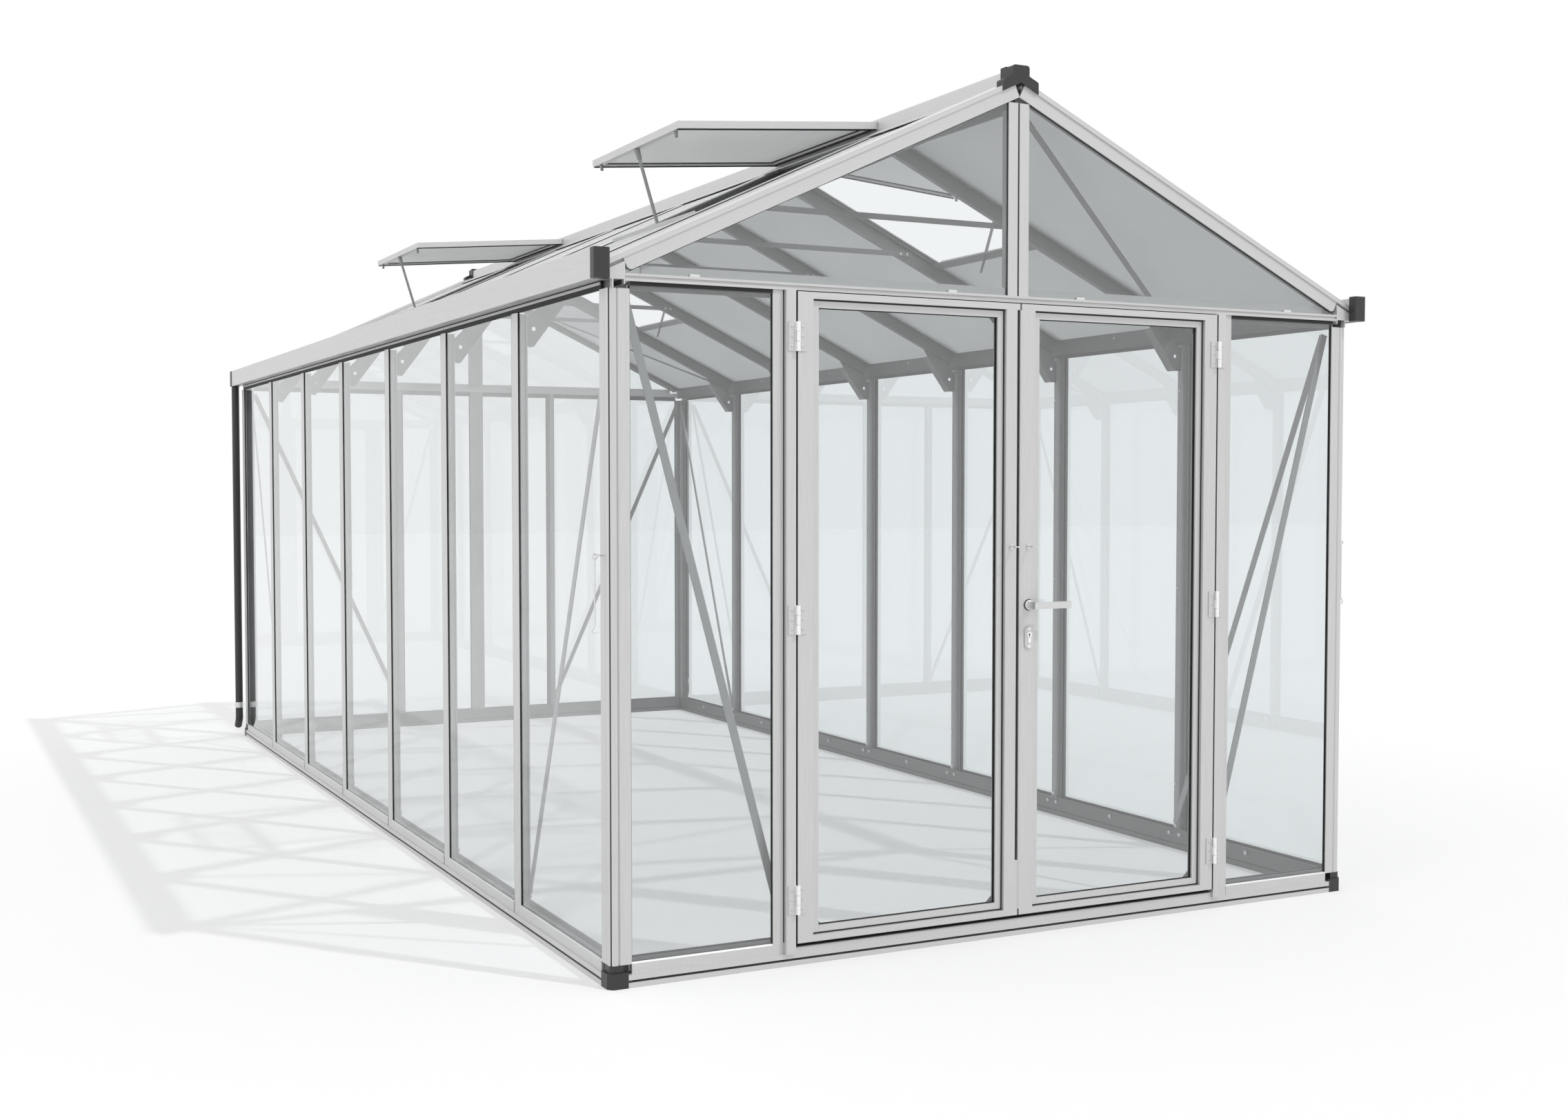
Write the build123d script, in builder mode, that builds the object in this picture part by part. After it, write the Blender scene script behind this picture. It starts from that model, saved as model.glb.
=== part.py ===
"""Aluminium and glass greenhouse with double doors, gutters and roof vents, in millimetres.

The gable with the doors faces -Y, the back gable faces +Y, and Z is up from the ground.
"""

import os
from math import atan2, cos, degrees, radians, sin, tan

from build123d import *

os.makedirs("parts", exist_ok=True)

# Driving dimensions of the house
base_width = 2694.0
base_length = 5640.0
bay_pitch = 800.0
bay_count = 7
roof_pitch = 25.0
eave_height = 1951.0
sheet_over_eave = 40.15
wall_inset = 7.0
fit = 0.3

# Glass and roof sheet
pane_thickness = 4.0
sheet_thickness = 8.0
sheet_overhang_share = 0.25

# Glazing bar section, shared by wall posts and rafters
cap_width = 64.0
cap_thickness = 6.0
cap_bevel = 14.0
cap_edge = 3.0
stem_width = 10.0
flange_width = 40.0
flange_thickness = 4.0
web_width = 8.0
lip_width = 22.0
lip_thickness = 4.0
rafter_depth = 60.0

# Base rail section
base_height = 37.0
base_depth = 57.0
upstand_height = 77.0
upstand_thickness = 5.0
groove_height = 7.0
groove_depth = 4.0
groove_level = 15.0

# Base corner caps and corner posts
corner_leg = 59.0
corner_cap_height = 44.0
corner_neck_height = 65.0
corner_chamfer = 14.0
post_arm = 64.0
post_groove = 6.0
post_lobe_radius = 5.0
post_notch = 24.0
post_notch_width = 7.0
post_notch_depth = 4.0
post_slot_depth = 8.0
post_arm_depth = 16.0
post_core = 40.0

# Glazing channel at the foot and head of each fixed pane
bead_height = 33.0
bead_proud = 7.0
bead_bevel = 4.0
channel_floor = 9.0
channel_inner_height = 43.0
channel_leg = 5.0
head_channel_height = 24.0
head_lip_height = 11.0

# Eave beam and gutter
gutter_width = 43.0
gutter_wall = 4.0
gutter_rise = 83.0
gutter_drip = 6.0
gutter_drip_height = 3.0
eave_beam_width = 55.0
eave_leg = 4.0
head_seal_height = 24.0
gutter_cap_length = 30.0
gutter_outlet_length = 52.0
gutter_cap_proud = 2.0
gutter_cap_edge = 4.0
seal_thickness = 4.5

# Downpipe
pipe_diameter = 40.0
pipe_wall = 2.0
pipe_foot = 95.0
shoe_reach = 40.0
shoe_drop = 45.0
shoe_bend = 30.0

# Door frame
leaf_half_gap = 3.0
leaf_outer_edge = 766.0
jamb_gap = 6.0
jamb_width = 31.0
jamb_line = 0.5
side_stile_width = 35.0
door_proud = 22.0
door_depth = 32.0
jamb_depth = 52.0
lintel_proud = 13.0
lintel_drop = 1.0
lintel_height = 21.0
lintel_groove = 7.0
lintel_groove_depth = 6.0
lintel_depth = 43.0
lintel_flange_height = 25.0
sill_height = 20.0

# Door leaf
leaf_foot_gap = 9.0
leaf_head_gap = 3.0
leaf_bar = 19.0
leaf_stile = 50.0
leaf_bead = 24.0
leaf_bead_back = 12.0
leaf_bead_web = 8.0
leaf_rebate = 10.0
leaf_rebate_depth = 8.0
leaf_rebate_rise = 152.5

# Hinges
hinge_end = 129.0
hinge_height = 84.0
knuckle_radius = 6.5
knuckle_stand = 9.0
pin_radius = 3.0
hinge_plate_width = 24.0
hinge_plate_thickness = 3.0
hinge_wing_gap = 2.0
knuckle_gap = 1.0

# Lever, lock and eye pins
lever_x = 33.0
lever_rise = 960.0
rose_radius = 15.0
rose_thickness = 7.0
spindle_radius = 8.0
lever_stand = 48.0
lever_length = 124.0
lever_height = 21.0
lever_neck = 15.0
lever_blade = 10.0
lever_tip = 7.0
lever_gap = 1.0
lever_bend = 9.0
lever_edge = 2.0
lock_drop = 101.5
lock_width = 30.0
lock_height = 69.0
lock_thickness = 5.0
keyhole_radius = 3.2
keyhole_slot = 2.4
keyhole_drop = 9.0
keyhole_rise = 10.0
cylinder_radius = 8.5
cylinder_tail = 10.0
cylinder_drop = 22.0
cylinder_proud = 2.0
eye_x = 31.0
eye_rise = 1140.0
eye_shank_radius = 3.0
eye_shank_length = 26.0
eye_flange_radius = 8.0
eye_flange_thickness = 3.0
eye_ring_radius = 8.0
eye_wire_radius = 2.0

# Door stay hooks on the front corner posts
stay_y_inset = 36.0
stay_drop = 6.0
stay_shank_length = 9.0
stay_ring_radius = 9.0
stay_wire_radius = 2.0
hook_ring_radius = 7.0
hook_slack = 0.5
hook_rod_length = 180.0
hook_toe_drop = 22.0
hook_toe_reach = 12.0
hook_tip_reach = 8.0
hook_bend = 5.0

# Gables
king_width = 75.0
king_groove = 6.0
king_groove_depth = 5.0
king_depth = 26.0
king_proud = 5.0
king_box_inset = 1.5
king_box_depth = 37.0
verge_drop = 38.0
verge_rise = 15.0
verge_face = 8.0
verge_nose = 12.0
verge_cover = 22.0
verge_shelf = 30.0
verge_shelf_thickness = 5.0
verge_slot_cap = 4.0
verge_end_radius = 15.0
verge_bead_radius = 9.0
verge_bead_rise = 5.0
back_post_x = 460.0
back_cap_share = 0.72
brace_width = 24.0
brace_thickness = 4.0

# Ridge
ridge_web = 10.0
ridge_web_drop = 81.0
ridge_crown_width = 52.0
ridge_crown_rise = 44.0
ridge_wing_reach = 80.0
ridge_wing_thickness = 4.0
ridge_crown_radius = 8.0
ridge_cap_rise = 9.0
ridge_cap_reach = 64.0
ridge_cap_shoulder = 32.0
ridge_cap_sleeve = 30.0
ridge_cap_wall = 4.0
ridge_cap_radius = 9.0

# Roof vents
vent_offset_count = 1
vent_tilt = 5.0
vent_hinge_drop = 12.0
vent_length = 750.0
vent_side_gap = 6.0
vent_rim = 26.0
vent_rim_depth = 24.0
vent_lip = 6.0
vent_sill_x = 700.0
vent_sill_width = 34.0
vent_sill_rise = 12.0
vent_sill_drop = 26.0
vent_sill_leg = 5.0
vent_rod_radius = 6.0

# Inner ties and knee plates
tie_over_eave = 359.0
tie_height = 20.0
tie_thickness = 4.0
tie_end_gap = 8.0
knee_height = 111.0
knee_reach = 160.0
knee_hole_radius = 7.0
knee_notch = 40.0
knee_flange = 46.0

# Worked out from the sizes above
half_width = base_width / 2
half_length = base_length / 2
wall_x = half_width - wall_inset
wall_y = half_length - wall_inset
glass_x = wall_x - cap_thickness
glass_y = wall_y - cap_thickness
pane_slot = pane_thickness + 2 * fit
sheet_slot = sheet_thickness + 2 * fit
slope_cos = cos(radians(roof_pitch))
slope_sin = sin(radians(roof_pitch))
slope_tan = tan(radians(roof_pitch))
roof_apex = eave_height + sheet_over_eave + wall_x * slope_tan
eave_underside = eave_height + gutter_drip_height
gutter_floor = eave_underside + gutter_wall
gutter_top = eave_height + gutter_rise
post_top = eave_underside - head_seal_height
lintel_bottom = eave_height - lintel_drop
lintel_top = lintel_bottom + lintel_height
leaf_bottom = base_height + sill_height + leaf_foot_gap
leaf_top = lintel_bottom - leaf_head_gap
hinge_levels = (leaf_bottom + hinge_end, (leaf_bottom + leaf_top) / 2, leaf_top - hinge_end)
lever_z = leaf_bottom + lever_rise
lock_z = lever_z - lock_drop
eye_z = leaf_bottom + eye_rise
stay_z = eye_z - stay_drop
ridge_web_bottom = roof_apex - ridge_web_drop
ridge_crown_top = roof_apex + ridge_crown_rise
vent_bays = (vent_offset_count, bay_count - 1 - vent_offset_count)
vent_hinge_z = ridge_crown_top - vent_hinge_drop
post_lines = [bay_pitch * (i - (bay_count - 2) / 2) for i in range(bay_count - 1)]
corner_edge = wall_y - post_arm
corner_slot = wall_y - post_arm + post_slot_depth
arm_edge_x = wall_x - post_arm
arm_slot_x = wall_x - post_arm + post_slot_depth
jamb_inner = leaf_outer_edge + jamb_gap
jamb_outer = jamb_inner + jamb_width
stile_inner = jamb_outer + jamb_line
stile_outer = stile_inner + side_stile_width
eave_inner_x = glass_x + gutter_wall + cap_thickness - eave_beam_width + gutter_wall / 2
sides = (-1, 1)
post_depth = base_depth - upstand_thickness - wall_inset - cap_thickness
eave_leg_bottom = lintel_bottom - channel_floor


def wall_plane(side, height):
    """Plan of a side wall: local x runs along the wall, local y points outwards."""
    return Plane(origin=(side * glass_x, 0, height), x_dir=(0, -side, 0), z_dir=(0, 0, 1))


def gable_plane(end, height):
    """Plan of a gable wall: local x runs along the gable, local y points outwards."""
    return Plane(origin=(0, end * glass_y, height), x_dir=(end, 0, 0), z_dir=(0, 0, 1))


def slope_plane(side, along):
    """Section across a roof slope: local x runs along the ridge, local y is the roof's normal."""
    origin = (side * along * slope_cos, 0, roof_apex - along * slope_sin)
    return Plane(origin=origin, x_dir=(0, side, 0), z_dir=(side * slope_cos, 0, -slope_sin))


def elevation_plane(out):
    """Front elevation of the door wall, pushed out from the glass plane by the given length."""
    return Plane(origin=(0, -glass_y - out, 0), x_dir=(1, 0, 0), z_dir=(0, -1, 0))


def half_outline(points):
    """Closed face from half an outline, mirrored about the local y axis."""
    with BuildSketch() as face:
        with BuildLine():
            Polyline(*points)
            mirror(about=Plane.YZ)
        make_face()
    return face.sketch


def outline(points):
    """Closed face from an outline."""
    with BuildSketch() as face:
        with BuildLine():
            Polyline(*points, close=True)
        make_face()
    return face.sketch


def glazing_bar(cap, slot, depth):
    """Bar section: bevelled outer cap, stem between two panes, flange, web and lip."""
    under = -slot - flange_thickness
    return half_outline([
        (0, cap_thickness),
        (cap / 2 - cap_bevel, cap_thickness),
        (cap / 2, cap_edge),
        (cap / 2, 0),
        (stem_width / 2, 0),
        (stem_width / 2, -slot),
        (flange_width / 2, -slot),
        (flange_width / 2, under),
        (web_width / 2, under),
        (web_width / 2, lip_thickness - depth),
        (lip_width / 2, lip_thickness - depth),
        (lip_width / 2, -depth),
        (0, -depth),
    ])


def rectangle(x0, x1, y0, y1):
    """Rectangle from its limits, for sketches that list several pieces."""
    with BuildSketch() as face:
        with Locations(((x0 + x1) / 2, (y0 + y1) / 2)):
            Rectangle(x1 - x0, y1 - y0)
    return face.sketch


def save(piece, name):
    """Label a finished sub-part and write it."""
    piece.part.label = name
    export_step(piece.part, f"parts/{name}.step")


# Base rails, with a groove along the outer face and an inner upstand
rail_section = outline([
    (0, 0),
    (base_depth, 0),
    (base_depth, upstand_height),
    (base_depth - upstand_thickness, upstand_height),
    (base_depth - upstand_thickness, base_height),
    (0, base_height),
    (0, groove_level + groove_height),
    (groove_depth, groove_level + groove_height),
    (groove_depth, groove_level),
    (0, groove_level),
])
side_rail_length = base_length - 2 * corner_leg
end_rail_length = base_width - 2 * corner_leg
with BuildPart() as base_rails:
    for side in sides:
        start = (side * half_width, side * side_rail_length / 2, 0)
        with BuildSketch(Plane(origin=start, x_dir=(-side, 0, 0), z_dir=(0, side, 0))):
            add(rail_section)
        extrude(amount=-side_rail_length)
        start = (-side * end_rail_length / 2, side * half_length, 0)
        with BuildSketch(Plane(origin=start, x_dir=(0, -side, 0), z_dir=(-side, 0, 0))):
            add(rail_section)
        extrude(amount=-end_rail_length)
save(base_rails, "base_rails")

# Corner caps under the posts
with BuildPart() as base_corner_caps:
    for side in sides:
        for end in sides:
            corner = Plane(origin=(side * half_width, end * half_length, 0),
                           x_dir=(-side, 0, 0), z_dir=(0, 0, 1))
            inward = end * side
            with BuildSketch(corner):
                add(outline([
                    (corner_chamfer, 0),
                    (corner_leg, 0),
                    (corner_leg, inward * corner_leg),
                    (0, inward * corner_leg),
                    (0, inward * corner_chamfer),
                ]))
            extrude(amount=corner_cap_height)
            with BuildSketch(corner.offset(corner_cap_height)):
                add(outline([
                    (wall_inset + post_groove, inward * wall_inset),
                    (wall_inset + post_core, inward * wall_inset),
                    (wall_inset + post_core, inward * (wall_inset + post_core)),
                    (wall_inset, inward * (wall_inset + post_core)),
                    (wall_inset, inward * (wall_inset + post_groove)),
                ]))
            extrude(amount=corner_neck_height - corner_cap_height)
save(base_corner_caps, "base_corner_caps")


def corner_section(inward):
    """Corner post: two rounded lobes, a corner groove, a notch and a pane slot on each arm."""
    arm_points = [
        (post_groove, post_groove),
        (post_groove, 0),
        (post_notch, 0),
        (post_notch + post_notch_width / 2, post_notch_depth),
        (post_notch + post_notch_width, 0),
        (post_arm, 0),
        (post_arm, cap_thickness),
        (post_arm - post_slot_depth, cap_thickness),
        (post_arm - post_slot_depth, cap_thickness + pane_slot),
        (post_arm, cap_thickness + pane_slot),
        (post_arm, post_arm_depth),
        (post_core, post_arm_depth),
        (post_core, post_core),
    ]
    other_arm = [(y, x) for x, y in reversed(arm_points[1:-1])]
    points = [(x, inward * y) for x, y in arm_points + other_arm]
    with BuildSketch() as face:
        add(outline(points))
        on_faces = [v for v in face.vertices() if abs(v.X * v.Y) < fit]
        lobes = [v for v in on_faces if abs(v.X + inward * v.Y) < post_notch - fit]
        fillet(lobes, post_lobe_radius)
    return face.sketch


with BuildPart() as corner_posts:
    for side in sides:
        for end in sides:
            corner = Plane(origin=(side * wall_x, end * wall_y, corner_neck_height),
                           x_dir=(-side, 0, 0), z_dir=(0, 0, 1))
            with BuildSketch(corner):
                add(corner_section(end * side))
            extrude(amount=post_top - corner_neck_height)
save(corner_posts, "corner_posts")

# Side wall posts
wall_bar = glazing_bar(cap_width, pane_slot, post_depth)
with BuildPart() as wall_posts:
    for side in sides:
        with BuildSketch(wall_plane(side, base_height)):
            with Locations(*[(line, 0) for line in post_lines]):
                add(wall_bar)
        extrude(amount=post_top - base_height)
save(wall_posts, "wall_posts")

# Panes and channels of a side wall, bay by bay
pane_limits = []
channel_limits = []
for i in range(bay_count):
    pane_start = -corner_slot + fit
    pane_end = corner_slot - fit
    channel_start = -corner_edge + fit
    channel_end = corner_edge - fit
    if i > 0:
        pane_start = post_lines[i - 1] + stem_width / 2 + fit
        channel_start = post_lines[i - 1] + cap_width / 2 + fit
    if i < bay_count - 1:
        pane_end = post_lines[i] - stem_width / 2 - fit
        channel_end = post_lines[i] - cap_width / 2 - fit
    pane_limits.append((pane_start, pane_end))
    channel_limits.append((channel_start, channel_end))

pane_bottom = base_height + channel_floor
pane_top = eave_underside - fit
with BuildPart() as wall_glass:
    for side in sides:
        with BuildSketch(wall_plane(side, pane_bottom)):
            for start, end in pane_limits:
                add(rectangle(start, end, -fit - pane_thickness, -fit))
        extrude(amount=pane_top - pane_bottom)
save(wall_glass, "wall_glass")

# Foot channel section: local x points outwards from the glass plane, local y is up
channel_section = outline([
    (-pane_slot - channel_leg, 0),
    (bead_proud, 0),
    (bead_proud, bead_height - bead_bevel),
    (bead_proud - bead_bevel, bead_height),
    (0, bead_height),
    (0, channel_floor),
    (-pane_slot, channel_floor),
    (-pane_slot, channel_inner_height),
    (-pane_slot - channel_leg, channel_inner_height),
])
with BuildPart() as wall_channels:
    for side in sides:
        for start, end in channel_limits:
            foot = Plane(origin=(side * glass_x, side * start, base_height),
                         x_dir=(side, 0, 0), z_dir=(0, -side, 0))
            with BuildSketch(foot):
                add(channel_section)
            extrude(amount=-(end - start))
save(wall_channels, "wall_channels")

# Eave beam with its gutter, in section across the house
gutter_outer = wall_x + gutter_width + gutter_wall + fit + wall_inset / 2
eave_top_inner = roof_apex - eave_inner_x * slope_tan - (sheet_slot + fit) / slope_cos
gutter_inner = gutter_outer - gutter_wall - gutter_width + gutter_wall / 2
eave_top_outer = roof_apex - gutter_inner * slope_tan - (sheet_slot + fit) / slope_cos
slot_inner = glass_x - pane_slot
eave_section = outline([
    (gutter_outer, eave_height),
    (gutter_outer, gutter_top),
    (gutter_outer - gutter_wall, gutter_top),
    (gutter_outer - gutter_wall, gutter_floor + gutter_wall),
    (gutter_inner, gutter_floor + gutter_wall),
    (gutter_inner, eave_top_outer),
    (eave_inner_x, eave_top_inner),
    (eave_inner_x, eave_leg_bottom),
    (eave_inner_x + eave_leg, eave_leg_bottom),
    (eave_inner_x + eave_leg, eave_underside),
    (slot_inner - eave_leg, eave_underside),
    (slot_inner - eave_leg, post_top),
    (slot_inner, post_top),
    (slot_inner, eave_underside),
    (gutter_outer - gutter_drip, eave_underside),
    (gutter_outer - gutter_drip, eave_height),
])
with BuildPart() as eave_beams:
    for side in sides:
        start = (0, side * half_length, 0)
        with BuildSketch(Plane(origin=start, x_dir=(side, 0, 0), z_dir=(0, -side, 0))):
            add(eave_section)
        extrude(amount=base_length)
save(eave_beams, "eave_beams")

# Plastic boxes that close the gutter ends, longer at the back for the outlets
gutter_cap_section = rectangle(gutter_inner, gutter_outer + gutter_cap_proud, eave_height, gutter_top)
with BuildPart() as gutter_end_caps:
    for side in sides:
        for end in sides:
            length = gutter_outlet_length if end > 0 else gutter_cap_length
            face = Plane(origin=(0, end * half_length, 0), x_dir=(side, 0, 0), z_dir=(0, -side, 0))
            with BuildSketch(face):
                add(gutter_cap_section)
            extrude(amount=-side * end * length)
    rims = gutter_end_caps.edges().filter_by(Axis.Z)
    chamfer(rims.group_by(Axis.Y)[0] + rims.group_by(Axis.Y)[-1], gutter_cap_edge)
save(gutter_end_caps, "gutter_end_caps")

# Rubber strip along the head of the side panes
with BuildPart() as wall_head_seals:
    for side in sides:
        with BuildSketch(wall_plane(side, post_top + fit)):
            add(rectangle(-corner_slot, corner_slot, 0, seal_thickness))
        extrude(amount=eave_underside - post_top - fit)
save(wall_head_seals, "wall_head_seals")

# Downpipes from the back outlets, with an angled shoe at the foot
pipe_x = (gutter_inner + gutter_outer) / 2
pipe_y = half_length + gutter_outlet_length / 2
with BuildPart() as downpipes:
    for side in sides:
        with BuildLine() as pipe_route:
            FilletPolyline(
                (side * pipe_x, pipe_y, eave_height),
                (side * pipe_x, pipe_y, pipe_foot),
                (side * pipe_x, pipe_y + shoe_reach, pipe_foot - shoe_drop),
                radius=shoe_bend,
            )
        with BuildSketch(Plane(origin=(side * pipe_x, pipe_y, eave_height), z_dir=(0, 0, -1))):
            Circle(pipe_diameter / 2)
            Circle(pipe_diameter / 2 - pipe_wall, mode=Mode.SUBTRACT)
        sweep(path=pipe_route.line)
save(downpipes, "downpipes")

# Lintels over both gable walls; local x points outwards, local y is up
lintel_section = outline([
    (lintel_proud, lintel_bottom),
    (lintel_proud, lintel_bottom + lintel_groove),
    (lintel_proud - lintel_groove_depth, lintel_bottom + lintel_groove),
    (lintel_proud - lintel_groove_depth, lintel_top - lintel_groove),
    (lintel_proud, lintel_top - lintel_groove),
    (lintel_proud, lintel_top),
    (lintel_proud - lintel_depth, lintel_top),
    (lintel_proud - lintel_depth, lintel_bottom),
])
lintel_half = eave_inner_x - fit
flange_head = lintel_top + lintel_flange_height
flange_half = (roof_apex - verge_drop / slope_cos - flange_head) / slope_tan - fit
with BuildPart() as lintels:
    for end in sides:
        start = (end * lintel_half, end * glass_y, 0)
        with BuildSketch(Plane(origin=start, x_dir=(0, end, 0), z_dir=(end, 0, 0))):
            add(lintel_section)
        extrude(amount=-2 * lintel_half)
        with BuildSketch(gable_plane(end, lintel_top)):
            add(rectangle(-flange_half, flange_half, -pane_slot - channel_leg, -pane_slot))
        extrude(amount=lintel_flange_height)
save(lintels, "lintels")

# Door jambs, and the glazing stiles beside them
with BuildPart() as front_jambs:
    with BuildSketch(gable_plane(-1, base_height)):
        for side in sides:
            limits = sorted((side * jamb_inner, side * jamb_outer))
            add(rectangle(*limits, door_proud - jamb_depth, door_proud))
    extrude(amount=lintel_bottom - base_height)
save(front_jambs, "front_jambs")

stile_section = [
    (stile_inner, cap_thickness),
    (stile_outer, cap_thickness),
    (stile_outer, 0),
    (stile_outer - post_slot_depth, 0),
    (stile_outer - post_slot_depth, -pane_slot),
    (stile_outer, -pane_slot),
    (stile_outer, -pane_slot - channel_leg),
    (stile_inner, -pane_slot - channel_leg),
]
with BuildPart() as front_side_stiles:
    with BuildSketch(gable_plane(-1, base_height)):
        for side in sides:
            add(outline([(side * x, y) for x, y in stile_section]))
    extrude(amount=lintel_bottom - base_height)
save(front_side_stiles, "front_side_stiles")

# Channels above and below the fixed side panes of the door wall
side_channel_start = stile_outer + fit
side_channel_end = arm_edge_x - fit
head_channel_section = outline([
    (-pane_slot - channel_leg, lintel_bottom),
    (cap_thickness, lintel_bottom),
    (cap_thickness, lintel_bottom - head_lip_height),
    (0, lintel_bottom - head_lip_height),
    (0, lintel_bottom - channel_floor),
    (-pane_slot, lintel_bottom - channel_floor),
    (-pane_slot, lintel_bottom - head_channel_height),
    (-pane_slot - channel_leg, lintel_bottom - head_channel_height),
])
with BuildPart() as front_side_channels:
    for side in sides:
        near = min(side * side_channel_start, side * side_channel_end)
        section_plane = Plane(origin=(near, -glass_y, 0), x_dir=(0, -1, 0), z_dir=(-1, 0, 0))
        with BuildSketch(section_plane):
            with Locations((0, base_height)):
                add(channel_section)
            add(head_channel_section)
        extrude(amount=-(side_channel_end - side_channel_start))
save(front_side_channels, "front_side_channels")

side_pane_top = lintel_bottom - channel_floor - fit
with BuildPart() as front_side_glass:
    with BuildSketch(gable_plane(-1, pane_bottom)):
        for side in sides:
            limits = sorted((side * (stile_outer - post_slot_depth + fit), side * (arm_slot_x - fit)))
            add(rectangle(*limits, -fit - pane_thickness, -fit))
    extrude(amount=side_pane_top - pane_bottom)
save(front_side_glass, "front_side_glass")

with BuildPart() as door_sill:
    with BuildSketch(gable_plane(-1, base_height)):
        add(rectangle(-jamb_inner + fit, jamb_inner - fit, lintel_proud - lintel_depth, lintel_proud))
    extrude(amount=sill_height)
    chamfer(door_sill.edges().group_by(Axis.Z)[-1].sort_by(Axis.Y)[0], bead_bevel)
save(door_sill, "door_sill")

# Door leaves: rails across the full width, stiles between them, glazing beads and a pane
leaf_stile_bottom = leaf_bottom + leaf_bar
leaf_stile_top = leaf_top - leaf_bar
for side in sides:
    leaf = "left_leaf" if side < 0 else "right_leaf"
    inner = leaf_half_gap
    outer = leaf_outer_edge
    with BuildPart() as leaf_rails:
        for level in (leaf_bottom, leaf_stile_top):
            with BuildSketch(gable_plane(-1, level)):
                limits = sorted((-side * inner, -side * outer))
                add(rectangle(*limits, door_proud - door_depth, door_proud))
            extrude(amount=leaf_bar)
    save(leaf_rails, f"{leaf}_rails")

    with BuildPart() as leaf_stiles:
        with BuildSketch(gable_plane(-1, leaf_stile_bottom)):
            for start, stop in ((inner, inner + leaf_stile), (outer - leaf_stile, outer)):
                limits = sorted((-side * start, -side * stop))
                add(rectangle(*limits, door_proud - door_depth, door_proud))
        extrude(amount=leaf_stile_top - leaf_stile_bottom)
        if side < 0:
            rebate_foot = leaf_stile_bottom + leaf_rebate_rise
            with BuildSketch(gable_plane(-1, rebate_foot)):
                with Locations((inner + leaf_rebate / 2, door_proud)):
                    Rectangle(leaf_rebate, 2 * leaf_rebate_depth)
            extrude(amount=leaf_stile_top - rebate_foot, mode=Mode.SUBTRACT)
    save(leaf_stiles, f"{leaf}_stiles")

    bead_start = inner + leaf_stile
    bead_stop = outer - leaf_stile
    bead_half = half_outline([
        (0, -leaf_bead_web),
        (pane_slot / 2, -leaf_bead_web),
        (pane_slot / 2, -leaf_bead),
        (leaf_bead_back, -leaf_bead),
        (leaf_bead_back, 0),
        (0, 0),
    ])
    with BuildPart() as leaf_beads:
        middle = (-fit - pane_thickness / 2)
        across = (bead_start + bead_stop) / 2
        bead_span = bead_stop - bead_start - 2 * (leaf_bead + fit)
        for turn, edge in ((90, bead_stop), (-90, bead_start)):
            foot = Plane(origin=(side * edge, -glass_y - middle, leaf_stile_bottom),
                         x_dir=(0, -1, 0), z_dir=(0, 0, 1))
            with BuildSketch(foot):
                with Locations(Location((0, 0, 0), (0, 0, 0 if side * turn > 0 else 180))):
                    add(bead_half)
            extrude(amount=leaf_stile_top - leaf_stile_bottom)
        for level, turn in ((leaf_stile_bottom, 180), (leaf_stile_top, 0)):
            start = (side * across - bead_span / 2, -glass_y - middle, level)
            with BuildSketch(Plane(origin=start, x_dir=(0, -1, 0), z_dir=(-1, 0, 0))):
                with Locations(Location((0, 0, 0), (0, 0, turn))):
                    add(bead_half)
            extrude(amount=-bead_span)
    save(leaf_beads, f"{leaf}_beads")

    with BuildPart() as leaf_glass:
        with BuildSketch(gable_plane(-1, leaf_stile_bottom + leaf_bead_web + fit)):
            pane_inset = leaf_bead_web + fit
            limits = sorted((-side * (bead_start + pane_inset), -side * (bead_stop - pane_inset)))
            add(rectangle(*limits, -fit - pane_thickness, -fit))
        extrude(amount=leaf_stile_top - leaf_stile_bottom - 2 * (leaf_bead_web + fit))
    save(leaf_glass, f"{leaf}_glass")


def strip(start, stop, width):
    """Flat bar between two points of a sketch."""
    along = Vector(stop[0] - start[0], stop[1] - start[1], 0)
    turn = degrees(atan2(along.Y, along.X))
    with BuildSketch() as face:
        with Locations(((start[0] + stop[0]) / 2, (start[1] + stop[1]) / 2)):
            Rectangle(along.length, width, rotation=turn)
    return face.sketch


# Hinges: end knuckles and pin on the jambs, middle knuckle on the leaves
hinge_x = (leaf_outer_edge + jamb_inner) / 2
knuckle_out = door_proud + knuckle_stand
knuckle_height = (hinge_height - 2 * knuckle_gap) / 3
plate_out = door_proud + hinge_plate_thickness
with BuildPart() as jamb_hinges:
    for side in sides:
        for middle in hinge_levels:
            foot = middle - hinge_height / 2
            near = jamb_inner + hinge_wing_gap
            plate = sorted((-side * near, -side * (near + hinge_plate_width)))
            wing = sorted((-side * hinge_x, -side * near))
            with BuildSketch(gable_plane(-1, foot)):
                add(rectangle(*plate, door_proud, plate_out))
                with Locations((-side * hinge_x, knuckle_out)):
                    Circle(pin_radius)
            extrude(amount=hinge_height)
            for level in (foot, foot + hinge_height - knuckle_height):
                with BuildSketch(gable_plane(-1, level)):
                    add(rectangle(*wing, door_proud, plate_out))
                    with Locations((-side * hinge_x, knuckle_out)):
                        Circle(knuckle_radius)
                extrude(amount=knuckle_height)
save(jamb_hinges, "jamb_hinges")

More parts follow.
